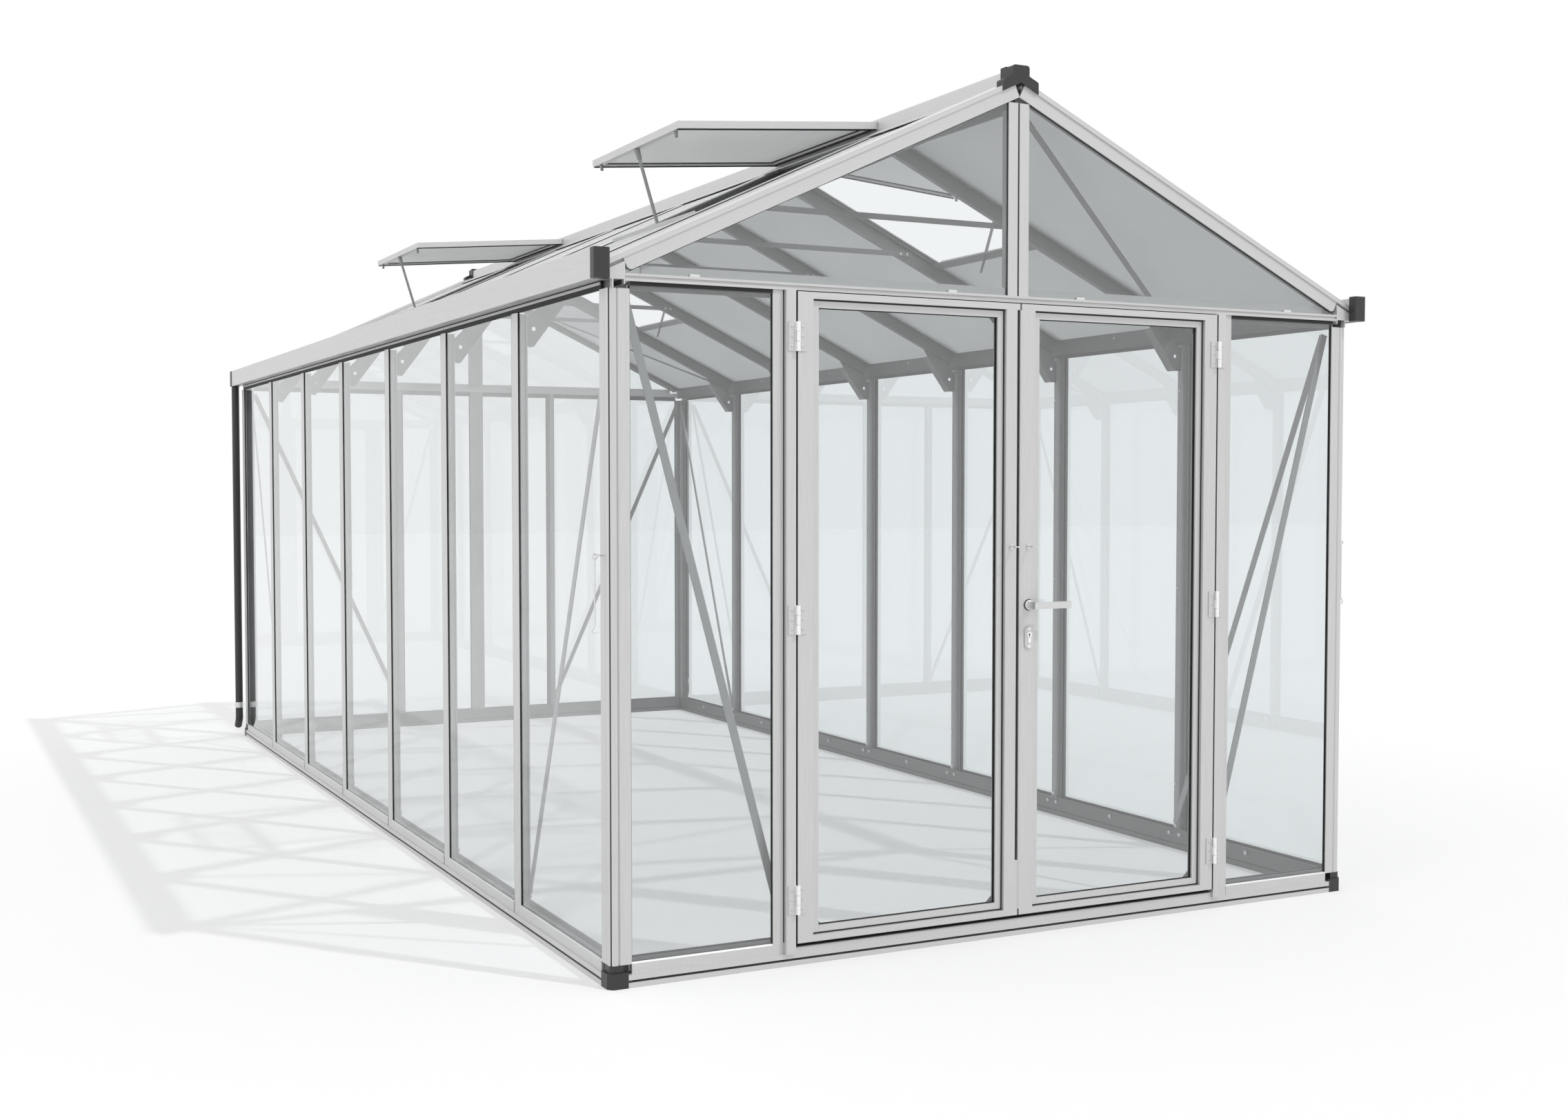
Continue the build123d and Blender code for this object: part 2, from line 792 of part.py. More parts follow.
for side in sides:
    leaf = "left_leaf" if side < 0 else "right_leaf"
    with BuildPart() as leaf_hinges:
        near = leaf_outer_edge - hinge_wing_gap
        plate = sorted((-side * near, -side * (near - hinge_plate_width)))
        wing = sorted((-side * hinge_x, -side * near))
        for middle in hinge_levels:
            with BuildSketch(gable_plane(-1, middle - hinge_height / 2)):
                add(rectangle(*plate, door_proud, plate_out))
            extrude(amount=hinge_height)
            with BuildSketch(gable_plane(-1, middle - knuckle_height / 2)):
                add(rectangle(*wing, door_proud, plate_out))
                with Locations((-side * hinge_x, knuckle_out)):
                    Circle(knuckle_radius)
                    Circle(pin_radius + fit, mode=Mode.SUBTRACT)
            extrude(amount=knuckle_height)
    save(leaf_hinges, f"{leaf}_hinges")

    # Eye pin that a door stay hook drops into
    with BuildPart() as leaf_eye:
        with BuildSketch(elevation_plane(door_proud)):
            with Locations((side * eye_x, eye_z)):
                Circle(eye_flange_radius)
        extrude(amount=eye_flange_thickness)
        with BuildSketch(elevation_plane(door_proud)):
            with Locations((side * eye_x, eye_z)):
                Circle(eye_shank_radius)
        extrude(amount=eye_shank_length)
        ring_out = door_proud + eye_shank_length + eye_ring_radius
        with Locations((side * eye_x, -glass_y - ring_out, eye_z)):
            Torus(eye_ring_radius, eye_wire_radius)
    save(leaf_eye, f"{leaf}_eye")

# Lock escutcheon and lever rose on the right leaf
with BuildPart() as right_leaf_lock:
    keyhole_z = lock_z + keyhole_rise
    with BuildSketch(elevation_plane(door_proud)):
        with Locations((lever_x, lock_z)):
            SlotOverall(lock_height, lock_width, rotation=90)
    extrude(amount=lock_thickness)
    with BuildSketch(elevation_plane(door_proud + lock_thickness)):
        with Locations((lever_x, keyhole_z)):
            Circle(cylinder_radius)
        with Locations((lever_x, keyhole_z - cylinder_drop / 2)):
            SlotOverall(cylinder_drop + cylinder_tail, cylinder_tail, rotation=90)
    extrude(amount=cylinder_proud)
    with BuildSketch(elevation_plane(door_proud)):
        with Locations((lever_x, keyhole_z)):
            Circle(keyhole_radius)
        with Locations((lever_x, keyhole_z - keyhole_drop / 2)):
            Rectangle(keyhole_slot, keyhole_drop)
    extrude(amount=lock_thickness + cylinder_proud, mode=Mode.SUBTRACT)
    with BuildSketch(elevation_plane(door_proud)):
        with Locations((lever_x, lever_z)):
            Circle(rose_radius)
            Circle(spindle_radius + fit, mode=Mode.SUBTRACT)
    extrude(amount=rose_thickness)
save(right_leaf_lock, "right_leaf_lock")

# Lever handle: spindle in the rose, neck, and a flat grip that thins towards its tip
with BuildPart() as lever:
    with BuildSketch(elevation_plane(door_proud + fit)):
        with Locations((lever_x, lever_z)):
            Circle(spindle_radius)
    extrude(amount=rose_thickness + lever_gap)
    neck_y = -glass_y - door_proud - rose_thickness - lever_gap
    grip_y = -glass_y - door_proud - lever_stand
    tip_x = lever_x + lever_length
    with BuildSketch(Plane.XY.offset(lever_z - lever_height / 2)) as grip_plan:
        add(outline([
            (lever_x - lever_neck / 2, neck_y),
            (lever_x - lever_neck / 2, grip_y - lever_blade / 2),
            (tip_x, grip_y - lever_tip / 2),
            (tip_x, grip_y + lever_tip / 2),
            (lever_x + lever_neck / 2, grip_y + lever_blade / 2),
            (lever_x + lever_neck / 2, neck_y),
        ]))
        fillet(grip_plan.vertices().group_by(Axis.X)[0].sort_by(Axis.Y)[0], lever_bend)
    extrude(amount=lever_height)
    grip_ends = lever.faces().filter_by(Axis.Z).edges().filter_by_position(Axis.Y, grip_y - lever_blade,
                                                                          neck_y - lever_edge)
    fillet(grip_ends.sort_by(Axis.X)[-4:], lever_edge)
save(lever, "lever")

# Screw eyes on the front corner posts, and the stay hooks that hang in them
stay_y = -wall_y + stay_y_inset
stay_ring_x = wall_x + stay_shank_length + stay_ring_radius
stay_axis_x = stay_ring_x + stay_ring_radius
with BuildPart() as stay_eyes:
    for side in sides:
        with BuildSketch(Plane(origin=(side * wall_x, stay_y, stay_z), z_dir=(side, 0, 0))):
            Circle(stay_wire_radius)
        extrude(amount=stay_shank_length)
        with Locations((side * stay_ring_x, stay_y, stay_z)):
            Torus(stay_ring_radius, stay_wire_radius)
save(stay_eyes, "stay_eyes")

hook_offset = hook_ring_radius - 2 * stay_wire_radius - hook_slack
hook_ring_z = stay_z - hook_offset
hook_start_z = hook_ring_z - hook_ring_radius
for side in sides:
    with BuildPart() as stay_hook:
        with Locations((side * stay_axis_x, stay_y, hook_ring_z)):
            Torus(hook_ring_radius, stay_wire_radius, rotation=(90, 0, 0))
        rod_end_z = hook_start_z - hook_rod_length
        with BuildLine() as hook_route:
            FilletPolyline(
                (side * stay_axis_x, stay_y, hook_start_z),
                (side * stay_axis_x, stay_y, rod_end_z),
                (side * (stay_axis_x + hook_toe_reach), stay_y, rod_end_z - hook_toe_drop),
                (side * (stay_axis_x - hook_tip_reach), stay_y, rod_end_z - hook_toe_drop),
                radius=hook_bend,
            )
        start = (side * stay_axis_x, stay_y, hook_start_z)
        with BuildSketch(Plane(origin=start, z_dir=(0, 0, -1))):
            Circle(stay_wire_radius)
        sweep(path=hook_route.line)
    save(stay_hook, "left_stay_hook" if side < 0 else "right_stay_hook")

# King posts over both lintels, with a groove down the face and a slot for each gable pane
king_half = king_width / 2
king_section = half_outline([
    (0, king_proud - king_groove_depth),
    (king_groove / 2, king_proud - king_groove_depth),
    (king_groove / 2, king_proud),
    (king_half, king_proud),
    (king_half, 0),
    (king_half - post_slot_depth, 0),
    (king_half - post_slot_depth, -pane_slot),
    (king_half, -pane_slot),
    (king_half, -pane_slot - channel_leg),
    (king_groove, -pane_slot - channel_leg),
    (king_groove, king_proud - king_depth),
    (0, king_proud - king_depth),
])
king_top = roof_apex - king_half * slope_tan - verge_drop / slope_cos - fit
king_box_half = king_half - king_box_inset
king_box = rectangle(-king_box_half, king_box_half, king_proud - king_box_depth, -pane_slot - channel_leg)
with BuildPart() as king_posts:
    for end in sides:
        with BuildSketch(gable_plane(end, flange_head + fit)):
            add(king_section)
        extrude(amount=king_top - flange_head - fit)
        with BuildSketch(gable_plane(end, flange_head + fit)):
            add(king_box)
        extrude(amount=ridge_web_bottom - flange_head - 2 * fit)
        with BuildSketch(gable_plane(end, lintel_top)):
            for side in sides:
                limits = sorted((side * king_groove / 2, side * king_half))
                add(rectangle(*limits, 0, king_proud))
        extrude(amount=flange_head + fit - lintel_top)
save(king_posts, "king_posts")

# Posts of the back wall below its lintel
back_bar = glazing_bar(cap_width * back_cap_share, pane_slot, post_depth)
back_height = lintel_bottom - base_height
with BuildPart() as back_wall_posts:
    with BuildSketch(gable_plane(1, base_height)):
        add(king_section)
        add(king_box)
        with Locations((-back_post_x, 0), (back_post_x, 0)):
            add(back_bar)
    extrude(amount=back_height)
save(back_wall_posts, "back_wall_posts")

back_cap_half = cap_width * back_cap_share / 2
back_bays = []
for side in sides:
    back_bays.append((side, king_half, back_post_x - back_cap_half,
                      king_half - post_slot_depth, back_post_x - stem_width / 2))
    back_bays.append((side, back_post_x + back_cap_half, arm_edge_x,
                      back_post_x + stem_width / 2, arm_slot_x))
with BuildPart() as back_wall_channels:
    for side, start, stop, pane_start, pane_stop in back_bays:
        far = max(side * (start + fit), side * (stop - fit))
        with BuildSketch(Plane(origin=(far, glass_y, 0), x_dir=(0, 1, 0), z_dir=(1, 0, 0))):
            with Locations((0, base_height)):
                add(channel_section)
            add(head_channel_section)
        extrude(amount=-(stop - start - 2 * fit))
save(back_wall_channels, "back_wall_channels")

with BuildPart() as back_wall_glass:
    with BuildSketch(gable_plane(1, pane_bottom)):
        for side, start, stop, pane_start, pane_stop in back_bays:
            limits = sorted((side * (pane_start + fit), side * (pane_stop - fit)))
            add(rectangle(*limits, -fit - pane_thickness, -fit))
    extrude(amount=side_pane_top - pane_bottom)
save(back_wall_glass, "back_wall_glass")

# Verge bars along the sloping gable edges
verge_slot_top = sheet_slot + verge_shelf_thickness + verge_slot_cap
verge_points = [
    (verge_face, -verge_drop),
    (verge_face, fit),
    (verge_nose, fit),
    (verge_nose, verge_rise),
    (-verge_cover, verge_rise),
    (-verge_cover, fit),
    (0, fit),
    (0, -sheet_slot),
    (-verge_shelf, -sheet_slot),
    (-verge_shelf, -sheet_slot - verge_shelf_thickness),
    (-verge_cover, -sheet_slot - verge_shelf_thickness),
    (-verge_cover, -verge_drop),
    (-pane_slot, -verge_drop),
    (-pane_slot, -verge_slot_top),
    (0, -verge_slot_top),
    (0, -verge_drop),
]
verge_start = verge_drop * slope_tan + fit
verge_stop = (eave_inner_x - fit + sheet_slot * slope_sin) / slope_cos
verge_tail = (gutter_outer - gutter_wall - fit - verge_rise * slope_sin) / slope_cos - verge_stop
verge_bead_start = ridge_cap_reach / slope_cos + verge_bead_radius
verge_bead_stop = verge_stop + verge_tail - verge_bead_rise * slope_tan
with BuildPart() as verges:
    for side in sides:
        for end in sides:
            ahead = side * end
            with BuildSketch(slope_plane(side, verge_start)):
                with Locations((ahead * glass_y, 0)):
                    add(outline([(ahead * x, y) for x, y in verge_points]))
            extrude(amount=verge_stop - verge_start)
            with BuildSketch(slope_plane(side, verge_stop)):
                limits = sorted((ahead * (glass_y - verge_cover), ahead * (glass_y + verge_nose)))
                add(rectangle(*limits, fit, verge_rise))
            extrude(amount=verge_tail)
            with BuildSketch(slope_plane(side, verge_bead_start)):
                with Locations((ahead * (glass_y - verge_cover + verge_bead_radius),
                                verge_rise + verge_bead_rise - verge_bead_radius)):
                    Circle(verge_bead_radius)
            extrude(amount=verge_bead_stop - verge_bead_start)
    for side in sides:
        corner = (side * (verge_stop * slope_cos - verge_drop * slope_sin), 0,
                  roof_apex - verge_stop * slope_sin - verge_drop * slope_cos)
        with BuildSketch(Plane(origin=corner, x_dir=(-side * slope_cos, 0, slope_sin), z_dir=(0, side, 0))):
            with Locations((verge_end_radius / 2, verge_end_radius / 2)):
                Rectangle(verge_end_radius, verge_end_radius)
            with Locations((verge_end_radius, verge_end_radius)):
                Circle(verge_end_radius, mode=Mode.SUBTRACT)
        extrude(amount=half_length, both=True, mode=Mode.SUBTRACT)
save(verges, "verges")

# Gable panes, cut to the slope
gable_start = king_half - post_slot_depth + fit
gable_stop = eave_inner_x - fit
gable_head = roof_apex - (verge_slot_top + fit) / slope_cos
with BuildPart() as gable_glass:
    for end in sides:
        face = Plane(origin=(0, end * (glass_y - fit), 0), x_dir=(1, 0, 0), z_dir=(0, -1, 0))
        with BuildSketch(face):
            for side in sides:
                add(outline([
                    (side * gable_start, lintel_top + fit),
                    (side * gable_stop, lintel_top + fit),
                    (side * gable_stop, gable_head - gable_stop * slope_tan),
                    (side * gable_start, gable_head - gable_start * slope_tan),
                ]))
        extrude(amount=end * pane_thickness)
save(gable_glass, "gable_glass")

# Rafters, with the cap alone running on to the gutter
rafter_bar = glazing_bar(cap_width, sheet_slot, rafter_depth)
rafter_start = (ridge_web / 2 + fit + rafter_depth * slope_sin) / slope_cos
rafter_stop = (eave_inner_x - fit + sheet_slot * slope_sin) / slope_cos
sheet_stop = (gutter_inner + gutter_width * sheet_overhang_share) / slope_cos
with BuildPart() as rafters:
    for side in sides:
        with BuildSketch(slope_plane(side, rafter_start)):
            with Locations(*[(line, 0) for line in post_lines]):
                add(rafter_bar)
        extrude(amount=rafter_stop - rafter_start)
        with BuildSketch(slope_plane(side, rafter_stop)):
            for line in post_lines:
                add(rectangle(line - cap_width / 2, line + cap_width / 2, 0, cap_edge))
        extrude(amount=sheet_stop - rafter_stop)
save(rafters, "rafters")

# Roof sheets; those in the vent bays start at the vent sill
sheet_start = (ridge_web / 2 + fit + sheet_slot * slope_sin) / slope_cos
vent_start = vent_sill_x / slope_cos
with BuildPart() as roof_sheets:
    for side in sides:
        for i in range(bay_count):
            low = -glass_y + fit
            high = glass_y - fit
            if i > 0:
                low = post_lines[i - 1] + stem_width / 2 + fit
            if i < bay_count - 1:
                high = post_lines[i] - stem_width / 2 - fit
            head = vent_start + vent_sill_leg + fit if i in vent_bays else sheet_start
            limits = sorted((side * low, side * high))
            with BuildSketch(slope_plane(side, head)):
                add(rectangle(*limits, -fit - sheet_thickness, -fit))
            extrude(amount=sheet_stop - head)
save(roof_sheets, "roof_sheets")


def roof_height(x, rise):
    """Height at a distance from the ridge, raised square to the roof."""
    return roof_apex - x * slope_tan + rise / slope_cos


# Ridge: hanging web, crown and a wing over each slope
wing_under = cap_thickness + fit
wing_over = wing_under + ridge_wing_thickness
crown_half = ridge_crown_width / 2
ridge_section = half_outline([
    (0, ridge_crown_top),
    (crown_half, ridge_crown_top),
    (crown_half, roof_height(crown_half, wing_over)),
    (ridge_wing_reach, roof_height(ridge_wing_reach, wing_over)),
    (ridge_wing_reach, roof_height(ridge_wing_reach, wing_under)),
    (ridge_web / 2, roof_height(ridge_web / 2, wing_under)),
    (ridge_web / 2, ridge_web_bottom),
    (0, ridge_web_bottom),
])
ridge_half = glass_y - verge_cover - fit
with BuildPart() as ridge_beam:
    with BuildSketch(Plane(origin=(0, ridge_half, 0), x_dir=(1, 0, 0), z_dir=(0, -1, 0))):
        add(ridge_section)
    extrude(amount=2 * ridge_half)
    crown = ridge_beam.edges().filter_by(Axis.Y).group_by(Axis.Z)[-1]
    fillet(crown, ridge_crown_radius)
save(ridge_beam, "ridge_beam")

# Plastic caps over the ridge ends: stepped front plate, body over the verges, sleeve over the crown
cap_under = verge_rise + fit
cap_top = ridge_crown_top + ridge_cap_rise
cap_half = crown_half + fit + ridge_cap_wall
crown_foot = wing_over + fit


def ridge_cap_face(bottom):
    """Front outline of a ridge cap: rounded crown, and shoulders along the slopes."""
    with BuildSketch() as face:
        add(half_outline([
            (0, cap_top),
            (cap_half, cap_top),
            (cap_half, roof_height(cap_half, ridge_cap_shoulder)),
            (ridge_cap_reach, roof_height(ridge_cap_reach, ridge_cap_shoulder)),
            (ridge_cap_reach, roof_height(ridge_cap_reach, bottom)),
            (0, roof_height(0, bottom)),
        ]))
        crown = face.vertices().group_by(Axis.Y)[-1]
        wide = face.vertices().group_by(Axis.X)
        shoulders = [wide[0].sort_by(Axis.Y)[-1], wide[-1].sort_by(Axis.Y)[-1]]
        fillet(crown.vertices() + shoulders, ridge_cap_radius)
    return face.sketch


cap_crown = half_outline([
    (0, cap_top),
    (cap_half, cap_top),
    (cap_half, roof_height(cap_half, crown_foot)),
    (0, roof_height(0, crown_foot)),
])
cap_hollow = half_outline([
    (0, ridge_crown_top + fit),
    (crown_half + fit, ridge_crown_top + fit),
    (crown_half + fit, roof_height(cap_half, crown_foot)),
    (0, roof_height(0, crown_foot)),
])
with BuildPart() as ridge_end_caps:
    for end in sides:
        outer_y = end * (glass_y + verge_nose + fit + ridge_cap_wall)
        front = Plane(origin=(0, outer_y, 0), x_dir=(1, 0, 0), z_dir=(0, -1, 0))
        with BuildSketch(front):
            add(ridge_cap_face(fit))
        extrude(amount=end * ridge_cap_wall)
        with BuildSketch(front):
            add(ridge_cap_face(cap_under))
        extrude(amount=outer_y - end * (ridge_half + fit))
        with BuildSketch(Plane(origin=(0, end * (ridge_half + fit), 0), x_dir=(1, 0, 0), z_dir=(0, -1, 0))):
            add(cap_crown)
            add(cap_hollow, mode=Mode.SUBTRACT)
        extrude(amount=end * ridge_cap_sleeve)
save(ridge_end_caps, "ridge_end_caps")

# Vents: sill between the rafters, and an open flap hinged on the ridge crown
vent_lines = [(post_lines[i - 1] + post_lines[i]) / 2 for i in vent_bays]
sill_half = (bay_pitch - cap_width) / 2 - fit
with BuildPart() as vent_sills:
    for side in sides:
        for line in vent_lines:
            with BuildSketch(slope_plane(side, vent_start)):
                with Locations((side * line, 0)):
                    add(rectangle(-sill_half, sill_half, -vent_sill_drop, vent_sill_rise))
            extrude(amount=vent_sill_leg)
            with BuildSketch(slope_plane(side, vent_start)):
                with Locations((side * line, 0)):
                    add(rectangle(-sill_half, sill_half, -vent_sill_drop, vent_sill_leg - vent_sill_drop))
            extrude(amount=-vent_sill_width)
save(vent_sills, "vent_sills")

vent_cos = cos(radians(vent_tilt))
vent_sin = sin(radians(vent_tilt))
vent_half = bay_pitch / 2 - vent_side_gap
vent_hinge_x = crown_half + fit + vent_rim_depth * vent_sin


def vent_plane(side, along):
    """Section across an open flap: local x runs along the ridge, local y is the flap's normal."""
    reach = vent_hinge_x + along * vent_cos
    origin = (side * reach, 0, vent_hinge_z - along * vent_sin)
    return Plane(origin=origin, x_dir=(0, side, 0), z_dir=(side * vent_cos, 0, -vent_sin))


with BuildPart() as vent_frames:
    for side in sides:
        for line in vent_lines:
            with BuildSketch(vent_plane(side, 0)):
                with Locations((side * line, 0)):
                    add(rectangle(-vent_half, vent_rim - vent_half, -vent_rim_depth, 0))
                    add(rectangle(vent_half - vent_rim, vent_half, -vent_rim_depth, 0))
            extrude(amount=vent_length)
            for along in (0, vent_length - vent_rim):
                with BuildSketch(vent_plane(side, along)):
                    with Locations((side * line, 0)):
                        reach = vent_half - vent_rim - fit
                        add(rectangle(-reach, reach, -vent_rim_depth, 0))
                extrude(amount=vent_rim)
save(vent_frames, "vent_frames")

with BuildPart() as vent_panes:
    for side in sides:
        for line in vent_lines:
            with BuildSketch(vent_plane(side, vent_rim + fit)):
                with Locations((side * line, 0)):
                    reach = vent_half - vent_rim - fit
                    add(rectangle(-reach, reach, -vent_lip - sheet_thickness, -vent_lip))
            extrude(amount=vent_length - 2 * (vent_rim + fit))
save(vent_panes, "vent_panes")

# Stay rods that hold the flaps open
rod_along = vent_length - vent_rim / 2
rod_top_x = vent_hinge_x + rod_along * vent_cos - (vent_rim_depth + fit) * vent_sin
rod_top_z = vent_hinge_z - rod_along * vent_sin - (vent_rim_depth + fit) * vent_cos
rod_foot_along = vent_start - vent_sill_width / 2
rod_foot_drop = vent_sill_drop - vent_sill_leg - fit
rod_foot_x = rod_foot_along * slope_cos - rod_foot_drop * slope_sin
rod_foot_z = roof_apex - rod_foot_along * slope_sin - rod_foot_drop * slope_cos
with BuildPart() as vent_stays:
    for side in sides:
        for line in vent_lines:
            foot = Vector(side * rod_foot_x, line, rod_foot_z + vent_rod_radius * slope_sin)
            head = Vector(side * rod_top_x, line, rod_top_z - vent_rod_radius * slope_sin / 2)
            with BuildSketch(Plane(origin=foot, z_dir=head - foot)):
                Circle(vent_rod_radius)
            extrude(amount=(head - foot).length)
save(vent_stays, "vent_stays")

# Knee plates between posts and rafters
knee_x = half_width - base_depth + upstand_thickness - fit
knee_top_x = eave_inner_x - fit
knee_inner_x = knee_top_x - knee_reach
knee_drop = -rafter_depth - fit
knee_low = eave_leg_bottom - knee_height
knee_head_x = knee_inner_x + brace_width
knee_head_z = roof_height(knee_head_x, knee_drop - brace_width)
knee_foot_x = knee_x - brace_width
knee_notch_z = (eave_leg_bottom + roof_height(knee_top_x, knee_drop)) / 2
knee_hole_z = (knee_low + eave_leg_bottom) / 2
with BuildPart() as knee_plates:
    for line in post_lines:
        for side in sides:
            plate = outline([
                (side * knee_x, knee_low),
                (side * knee_x, eave_leg_bottom - fit),
                (side * knee_top_x, eave_leg_bottom - fit),
                (side * knee_top_x, roof_height(knee_top_x, knee_drop)),
                (side * knee_inner_x, roof_height(knee_inner_x, knee_drop)),
                (side * knee_head_x, knee_head_z),
                (side * knee_foot_x, knee_low),
            ])
            face_y = line - brace_thickness / 2
            face = Plane(origin=(0, face_y, 0), x_dir=(1, 0, 0), z_dir=(0, -1, 0))
            with BuildSketch(face):
                add(plate)
                with Locations((side * knee_top_x, knee_notch_z)):
                    Rectangle(knee_notch, knee_notch, rotation=45, mode=Mode.SUBTRACT)
                with Locations((side * (knee_x - brace_width), knee_hole_z)):
                    Circle(knee_hole_radius, mode=Mode.SUBTRACT)
            extrude(amount=-brace_thickness)
            with BuildSketch(face):
                head = (side * knee_head_x, knee_head_z)
                foot = (side * knee_foot_x, knee_low)
                add(strip(head, foot, 2 * brace_thickness))
                add(plate, mode=Mode.INTERSECT)
            extrude(amount=-knee_flange)
save(knee_plates, "knee_plates")

# Collar ties across the house, on the front side of each pair of rafters
tie_level = eave_height + tie_over_eave
tie_head = tie_level + tie_height + (sheet_slot + flange_thickness) / slope_cos
tie_half_length = (roof_apex - tie_head) / slope_tan - tie_end_gap
with BuildPart() as collar_ties:
    for line in post_lines:
        face_y = line - lip_width / 2 - fit
        with BuildSketch(Plane(origin=(0, face_y, tie_level), x_dir=(1, 0, 0), z_dir=(0, -1, 0))):
            add(rectangle(-tie_half_length, tie_half_length, 0, tie_height))
        extrude(amount=tie_thickness)
save(collar_ties, "collar_ties")

# Flat diagonal braces in the walls
brace_top = post_top - brace_width
brace_foot = upstand_height + brace_width
first_post = post_lines[-1]
with BuildPart() as wall_braces:
    for side in sides:
        inner_x = side * (half_width - base_depth + upstand_thickness - fit)
        with BuildSketch(Plane(origin=(inner_x, 0, 0), x_dir=(0, 1, 0), z_dir=(1, 0, 0))):
            for end in sides:
                top = (end * (wall_y - post_core - brace_width), brace_top)
                add(strip(top, (end * first_post, brace_foot), brace_width))
        extrude(amount=-side * brace_thickness)
    front_y = -glass_y - door_proud + jamb_depth + fit
    back_y = glass_y - post_depth - fit
    for level_y, foot_x, way in ((front_y, jamb_inner + jamb_width / 2, -1), (back_y, back_post_x, 1)):
        with BuildSketch(Plane(origin=(0, level_y, 0), x_dir=(1, 0, 0), z_dir=(0, -1, 0))):
            for side in sides:
                top = (side * (wall_x - post_core - brace_width), brace_top)
                add(strip(top, (side * foot_x, brace_foot), brace_width))
        extrude(amount=way * brace_thickness)
save(wall_braces, "wall_braces")

# Flat diagonal braces in the end bays of the roof, seated on the rafter lips
with BuildPart() as roof_braces:
    for side in sides:
        drop = rafter_depth - lip_thickness - fit
        origin = (-side * drop * slope_sin, 0, roof_apex - drop * slope_cos)
        with BuildSketch(Plane(origin=origin, x_dir=(0, 1, 0), z_dir=(side * slope_sin, 0, slope_cos))):
            for end in sides:
                top = (end * (glass_y - verge_shelf - brace_width), -side * ridge_wing_reach / slope_cos)
                foot_y = first_post + (web_width + brace_width) / 2 + fit
                low = (end * foot_y, -side * (rafter_stop - brace_width))
                add(strip(top, low, brace_width))
        extrude(amount=brace_thickness)
save(roof_braces, "roof_braces")
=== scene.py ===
# %% [markdown]
# A glass greenhouse in a white studio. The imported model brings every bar, pane and hinge as a fixed frame.
# This lesson gives each of them a finish, adds the small pieces that a maker fits last, and sets up the
# camera, the floor and the light.

# %% Load the fixed frame
import math

import bpy
from mathutils import Matrix, Vector


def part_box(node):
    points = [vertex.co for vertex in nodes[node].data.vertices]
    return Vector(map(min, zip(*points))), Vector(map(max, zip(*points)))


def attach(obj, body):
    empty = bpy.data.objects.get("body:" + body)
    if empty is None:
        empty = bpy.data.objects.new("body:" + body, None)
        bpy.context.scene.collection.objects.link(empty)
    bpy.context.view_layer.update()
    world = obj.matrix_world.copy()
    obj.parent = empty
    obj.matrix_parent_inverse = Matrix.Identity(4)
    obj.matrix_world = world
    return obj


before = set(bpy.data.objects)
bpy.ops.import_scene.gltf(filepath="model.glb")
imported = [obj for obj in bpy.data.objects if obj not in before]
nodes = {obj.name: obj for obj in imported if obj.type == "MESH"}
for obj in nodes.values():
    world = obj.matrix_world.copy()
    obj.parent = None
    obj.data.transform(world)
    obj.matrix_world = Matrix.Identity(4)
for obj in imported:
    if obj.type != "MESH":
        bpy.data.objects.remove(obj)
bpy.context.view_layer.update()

bpy.ops.object.select_all(action="DESELECT")

# %% [markdown]
# The picture was taken from the left of the doors, with a normal lens near eye height. The lens and the
# turn follow from the picture's vanishing lines, so the camera stands where the photographer stood.

# %% Camera
PHOTO_WIDTH = 2273
FOCAL_PIXELS = 2549.46
SENSOR_WIDTH = 36.0
CAMERA_PLACE = (-3.080, -7.3131, 1.385)
CAMERA_TURN = -26.84
CAMERA_TILT = 90.0 - 2.3402

camera_data = bpy.data.cameras.new("camera")
camera_data.sensor_fit = "HORIZONTAL"
camera_data.sensor_width = SENSOR_WIDTH
camera_data.lens = FOCAL_PIXELS / PHOTO_WIDTH * SENSOR_WIDTH
camera = bpy.data.objects.new("camera", camera_data)
camera.location = CAMERA_PLACE
camera.rotation_euler = (math.radians(CAMERA_TILT), 0.0, math.radians(CAMERA_TURN))
bpy.context.scene.collection.objects.link(camera)
bpy.context.scene.camera = camera
print("lens", round(camera_data.lens, 2))

# %% [markdown]
# Every finish starts as an empty material with one Principled shader. Patterns read Object coordinates,
# which are metres in the house's own frame, so a grain has the same size on every bar.

# %% Helpers for finishes
def new_finish(name, color, roughness, metallic=0.0):
    """A material with one Principled shader; returns the material, its nodes, its links and the shader."""
    finish = bpy.data.materials.new(name)
    finish.use_nodes = True
    tree = finish.node_tree
    shader = tree.nodes["Principled BSDF"]
    shader.inputs["Base Color"].default_value = (*color, 1.0)
    shader.inputs["Roughness"].default_value = roughness
    shader.inputs["Metallic"].default_value = metallic
    return finish, tree.nodes, tree.links, shader


def object_noise(tree_nodes, links, scale, stretch=(1.0, 1.0, 1.0), detail=2.0):
    """Noise on Object coordinates, drawn out along one axis by a Mapping node."""
    coords = tree_nodes.new("ShaderNodeTexCoord")
    mapping = tree_nodes.new("ShaderNodeMapping")
    mapping.inputs["Scale"].default_value = stretch
    noise = tree_nodes.new("ShaderNodeTexNoise")
    noise.inputs["Scale"].default_value = scale
    noise.inputs["Detail"].default_value = detail
    links.new(coords.outputs["Object"], mapping.inputs["Vector"])
    links.new(mapping.outputs["Vector"], noise.inputs["Vector"])
    return noise.outputs["Fac"]


